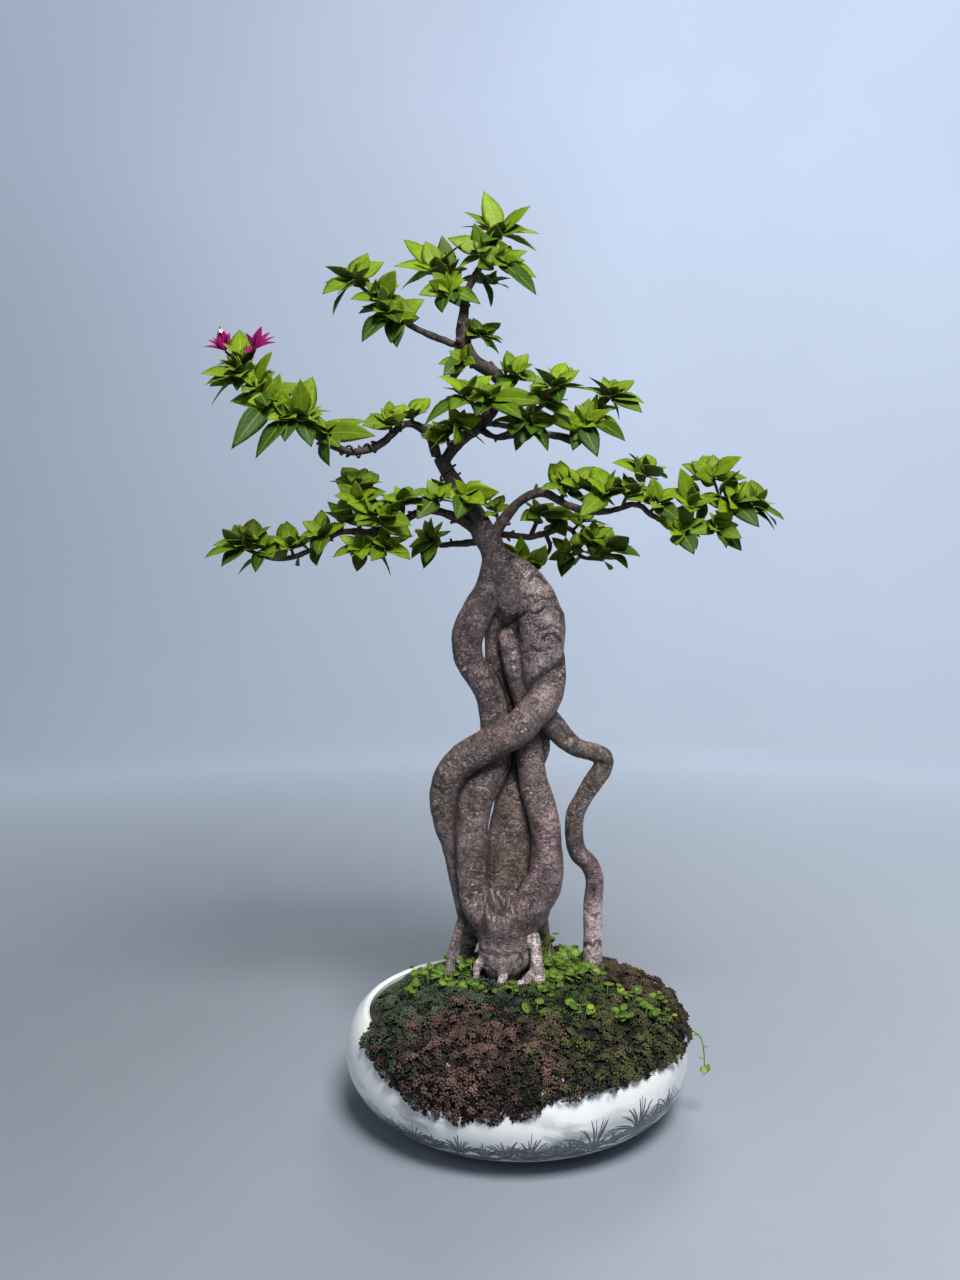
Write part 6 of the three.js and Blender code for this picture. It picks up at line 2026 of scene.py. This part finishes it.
def add_round_leaf(growth, place, rise, size, chance):
    """A small round leaf on its own thin stalk."""
    turn = chance.random() * 2 * math.pi
    lean = np.array([math.cos(turn), math.sin(turn), 0]) * 0.45 + UP
    head = place + unit(lean) * rise
    stalk = [[*(place - UP * 5), 0.45], [*((place + head) / 2), 0.4], [*head, 0.35]]
    add_tube(growth, stalk, 5, 4, shade=0.6, age=0.6)
    out = unit(np.array([math.cos(turn), math.sin(turn), chance.uniform(-0.1, 0.3)]))
    facing = unit(UP + FRONT * 0.45 + chance.normal(0, 0.3, 3))
    across = unit(np.cross(out, facing))
    top = unit(np.cross(across, out))
    bearings = circle(ROUND_LEAF_SIDES)
    dish = size / 2
    rim = np.array([head + out * (dish * (1 - math.cos(b) * 0.98)) + across * math.sin(b) * dish * 1.02
                    for b in bearings])
    inner = (rim - (head + out * dish)) * 0.5 + (head + out * dish) - top * dish * 0.10
    centre = head + out * dish * 0.9 - top * dish * 0.16
    rim = rim + top * dish * 0.12
    under = -top * 0.5
    points = np.vstack([rim, inner, [centre], inner + under, [centre + under]])
    n = len(bearings)
    here, after = np.arange(n), (np.arange(n) + 1) % n
    quads = [np.stack([here, after, after + n, here + n], 1),
             np.stack([after, here, here + 2 * n + 1, after + 2 * n + 1], 1)]
    fans = [np.stack([here + n, after + n, np.full(n, 2 * n)], 1),
            np.stack([after + 2 * n + 1, here + 2 * n + 1, np.full(n, 3 * n + 1)], 1)]
    growth.add(points, [*quads, *fans],
               edge=np.concatenate([np.ones(n), np.full(n, 0.5), [0], np.full(n, 0.5), [0]]),
               along=np.tile(0.5, len(points)),
               under=np.concatenate([np.full(n, 0.2), np.zeros(n + 1), np.ones(n + 1)]),
               shade=chance.random() ** 0.6 * 1.3, age=chance.random())


def scatter_round_leaves(growth, spots, chance):
    """Round leaves spread about each spot."""
    for (x, y), spread, count, extra in spots:
        for _ in range(count):
            px, py = x + chance.normal(0, spread * 0.55), y + chance.normal(0, spread * 0.55)
            place = np.array([px, py, cover_height(px, py) - 2])
            rise = chance.uniform(*STALK_HEIGHTS) + extra * chance.random()
            add_round_leaf(growth, place, rise, chance.uniform(*ROUND_LEAF_SIZES), chance)


RUNNER = [[176, -48, 96, 1.0], [185, -50, 89, 0.8], [189, -49, 74, 0.7], [190, -47, 58, 0.6]]
RUNNER_TIPS = [[188, -53, 51], [197, -44, 52], [192, -41, 52]]


def grow_round_leaves(material):
    """The patch of round leaves, the stray ones, and the runner with leaves along it and at its tip."""
    chance = np.random.default_rng(ROUND_LEAF_SEED)
    for name, spots, nodes in (("round_leaf_cluster", ROUND_LEAF_SPOTS, ["round_leaf_patch"]),
                               ("stray_round_leaves", STRAY_LEAF_SPOTS, [])):
        growth = Growth()
        scatter_round_leaves(growth, spots, chance)
        set_piece(name, growth.mesh(name), material, "round_leaf", *nodes)
    growth = Growth()
    samples = add_tube(growth, RUNNER, 6, 2.5, rough=0.12, rough_size=3, seed=3, shade=0.8, age=0.8)
    end = samples[-1, :3]
    for tip in np.array(RUNNER_TIPS, float):
        add_blade(growth, end, tip, unit(tip - end), FRONT + UP * 0.4, 0.46, chance, age=0.2, thickness=0.2,
                  fold=0.1)
    for i in range(4, len(samples) - 3, 5):
        side = 1 if i % 2 else -1
        tip = samples[i, :3] + [side * 5.0 - 1, -3, 2]
        add_blade(growth, samples[i, :3], tip, unit(tip - samples[i, :3]), UP, 0.44, chance, age=0.3,
                  thickness=0.2, fold=0.1)
    set_piece("runner_with_leaves", growth.mesh("runner"), material, "round_leaf", "trailing_runner")


# ------------------------------------------------------------------ pieces that keep their solids

def finish_hidden_layers():
    """The grit and the drain meshes keep the solids that they come with."""
    grit = crumbs("coarse_grit", (0.36, 0.30, 0.24), (0.12, 0.10, 0.08), 220, 0.0015)
    mesh_plastic = crumbs("black_mesh", (0.012, 0.014, 0.012), (0.006, 0.007, 0.006), 400, 0.0001, 0.55)
    for name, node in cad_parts.items():
        if name.startswith("drain_mesh"):
            node.material_slots[0].material = mesh_plastic
        elif name == "drainage_gravel":
            node.material_slots[0].material = grit


# ------------------------------------------------------------------ the whole bonsai

LIMIT_MARGIN = 1.5
LOW_LIMIT = np.array(cad_low) / MM + LIMIT_MARGIN
HIGH_LIMIT = np.array(cad_high) / MM - LIMIT_MARGIN

place_camera()
light_the_studio()
lay_floor()
grow_trunk(root_bark())
bark = branch_bark()
grow_branches(bark)
wind_wires(brown_wire())
grow_shoots(leaf_green(), bark)
open_bracts(bract_magenta())
turn_bowl(white_glaze())
paint_reeds(brush_ink())
fill_soil(crumbs("damp_soil", (0.060, 0.043, 0.032), (0.014, 0.010, 0.008), 170, 0.0012))
grow_cover([moss(kind) for kind in KINDS])
grow_round_leaves(round_leaf_green())
finish_hidden_layers()
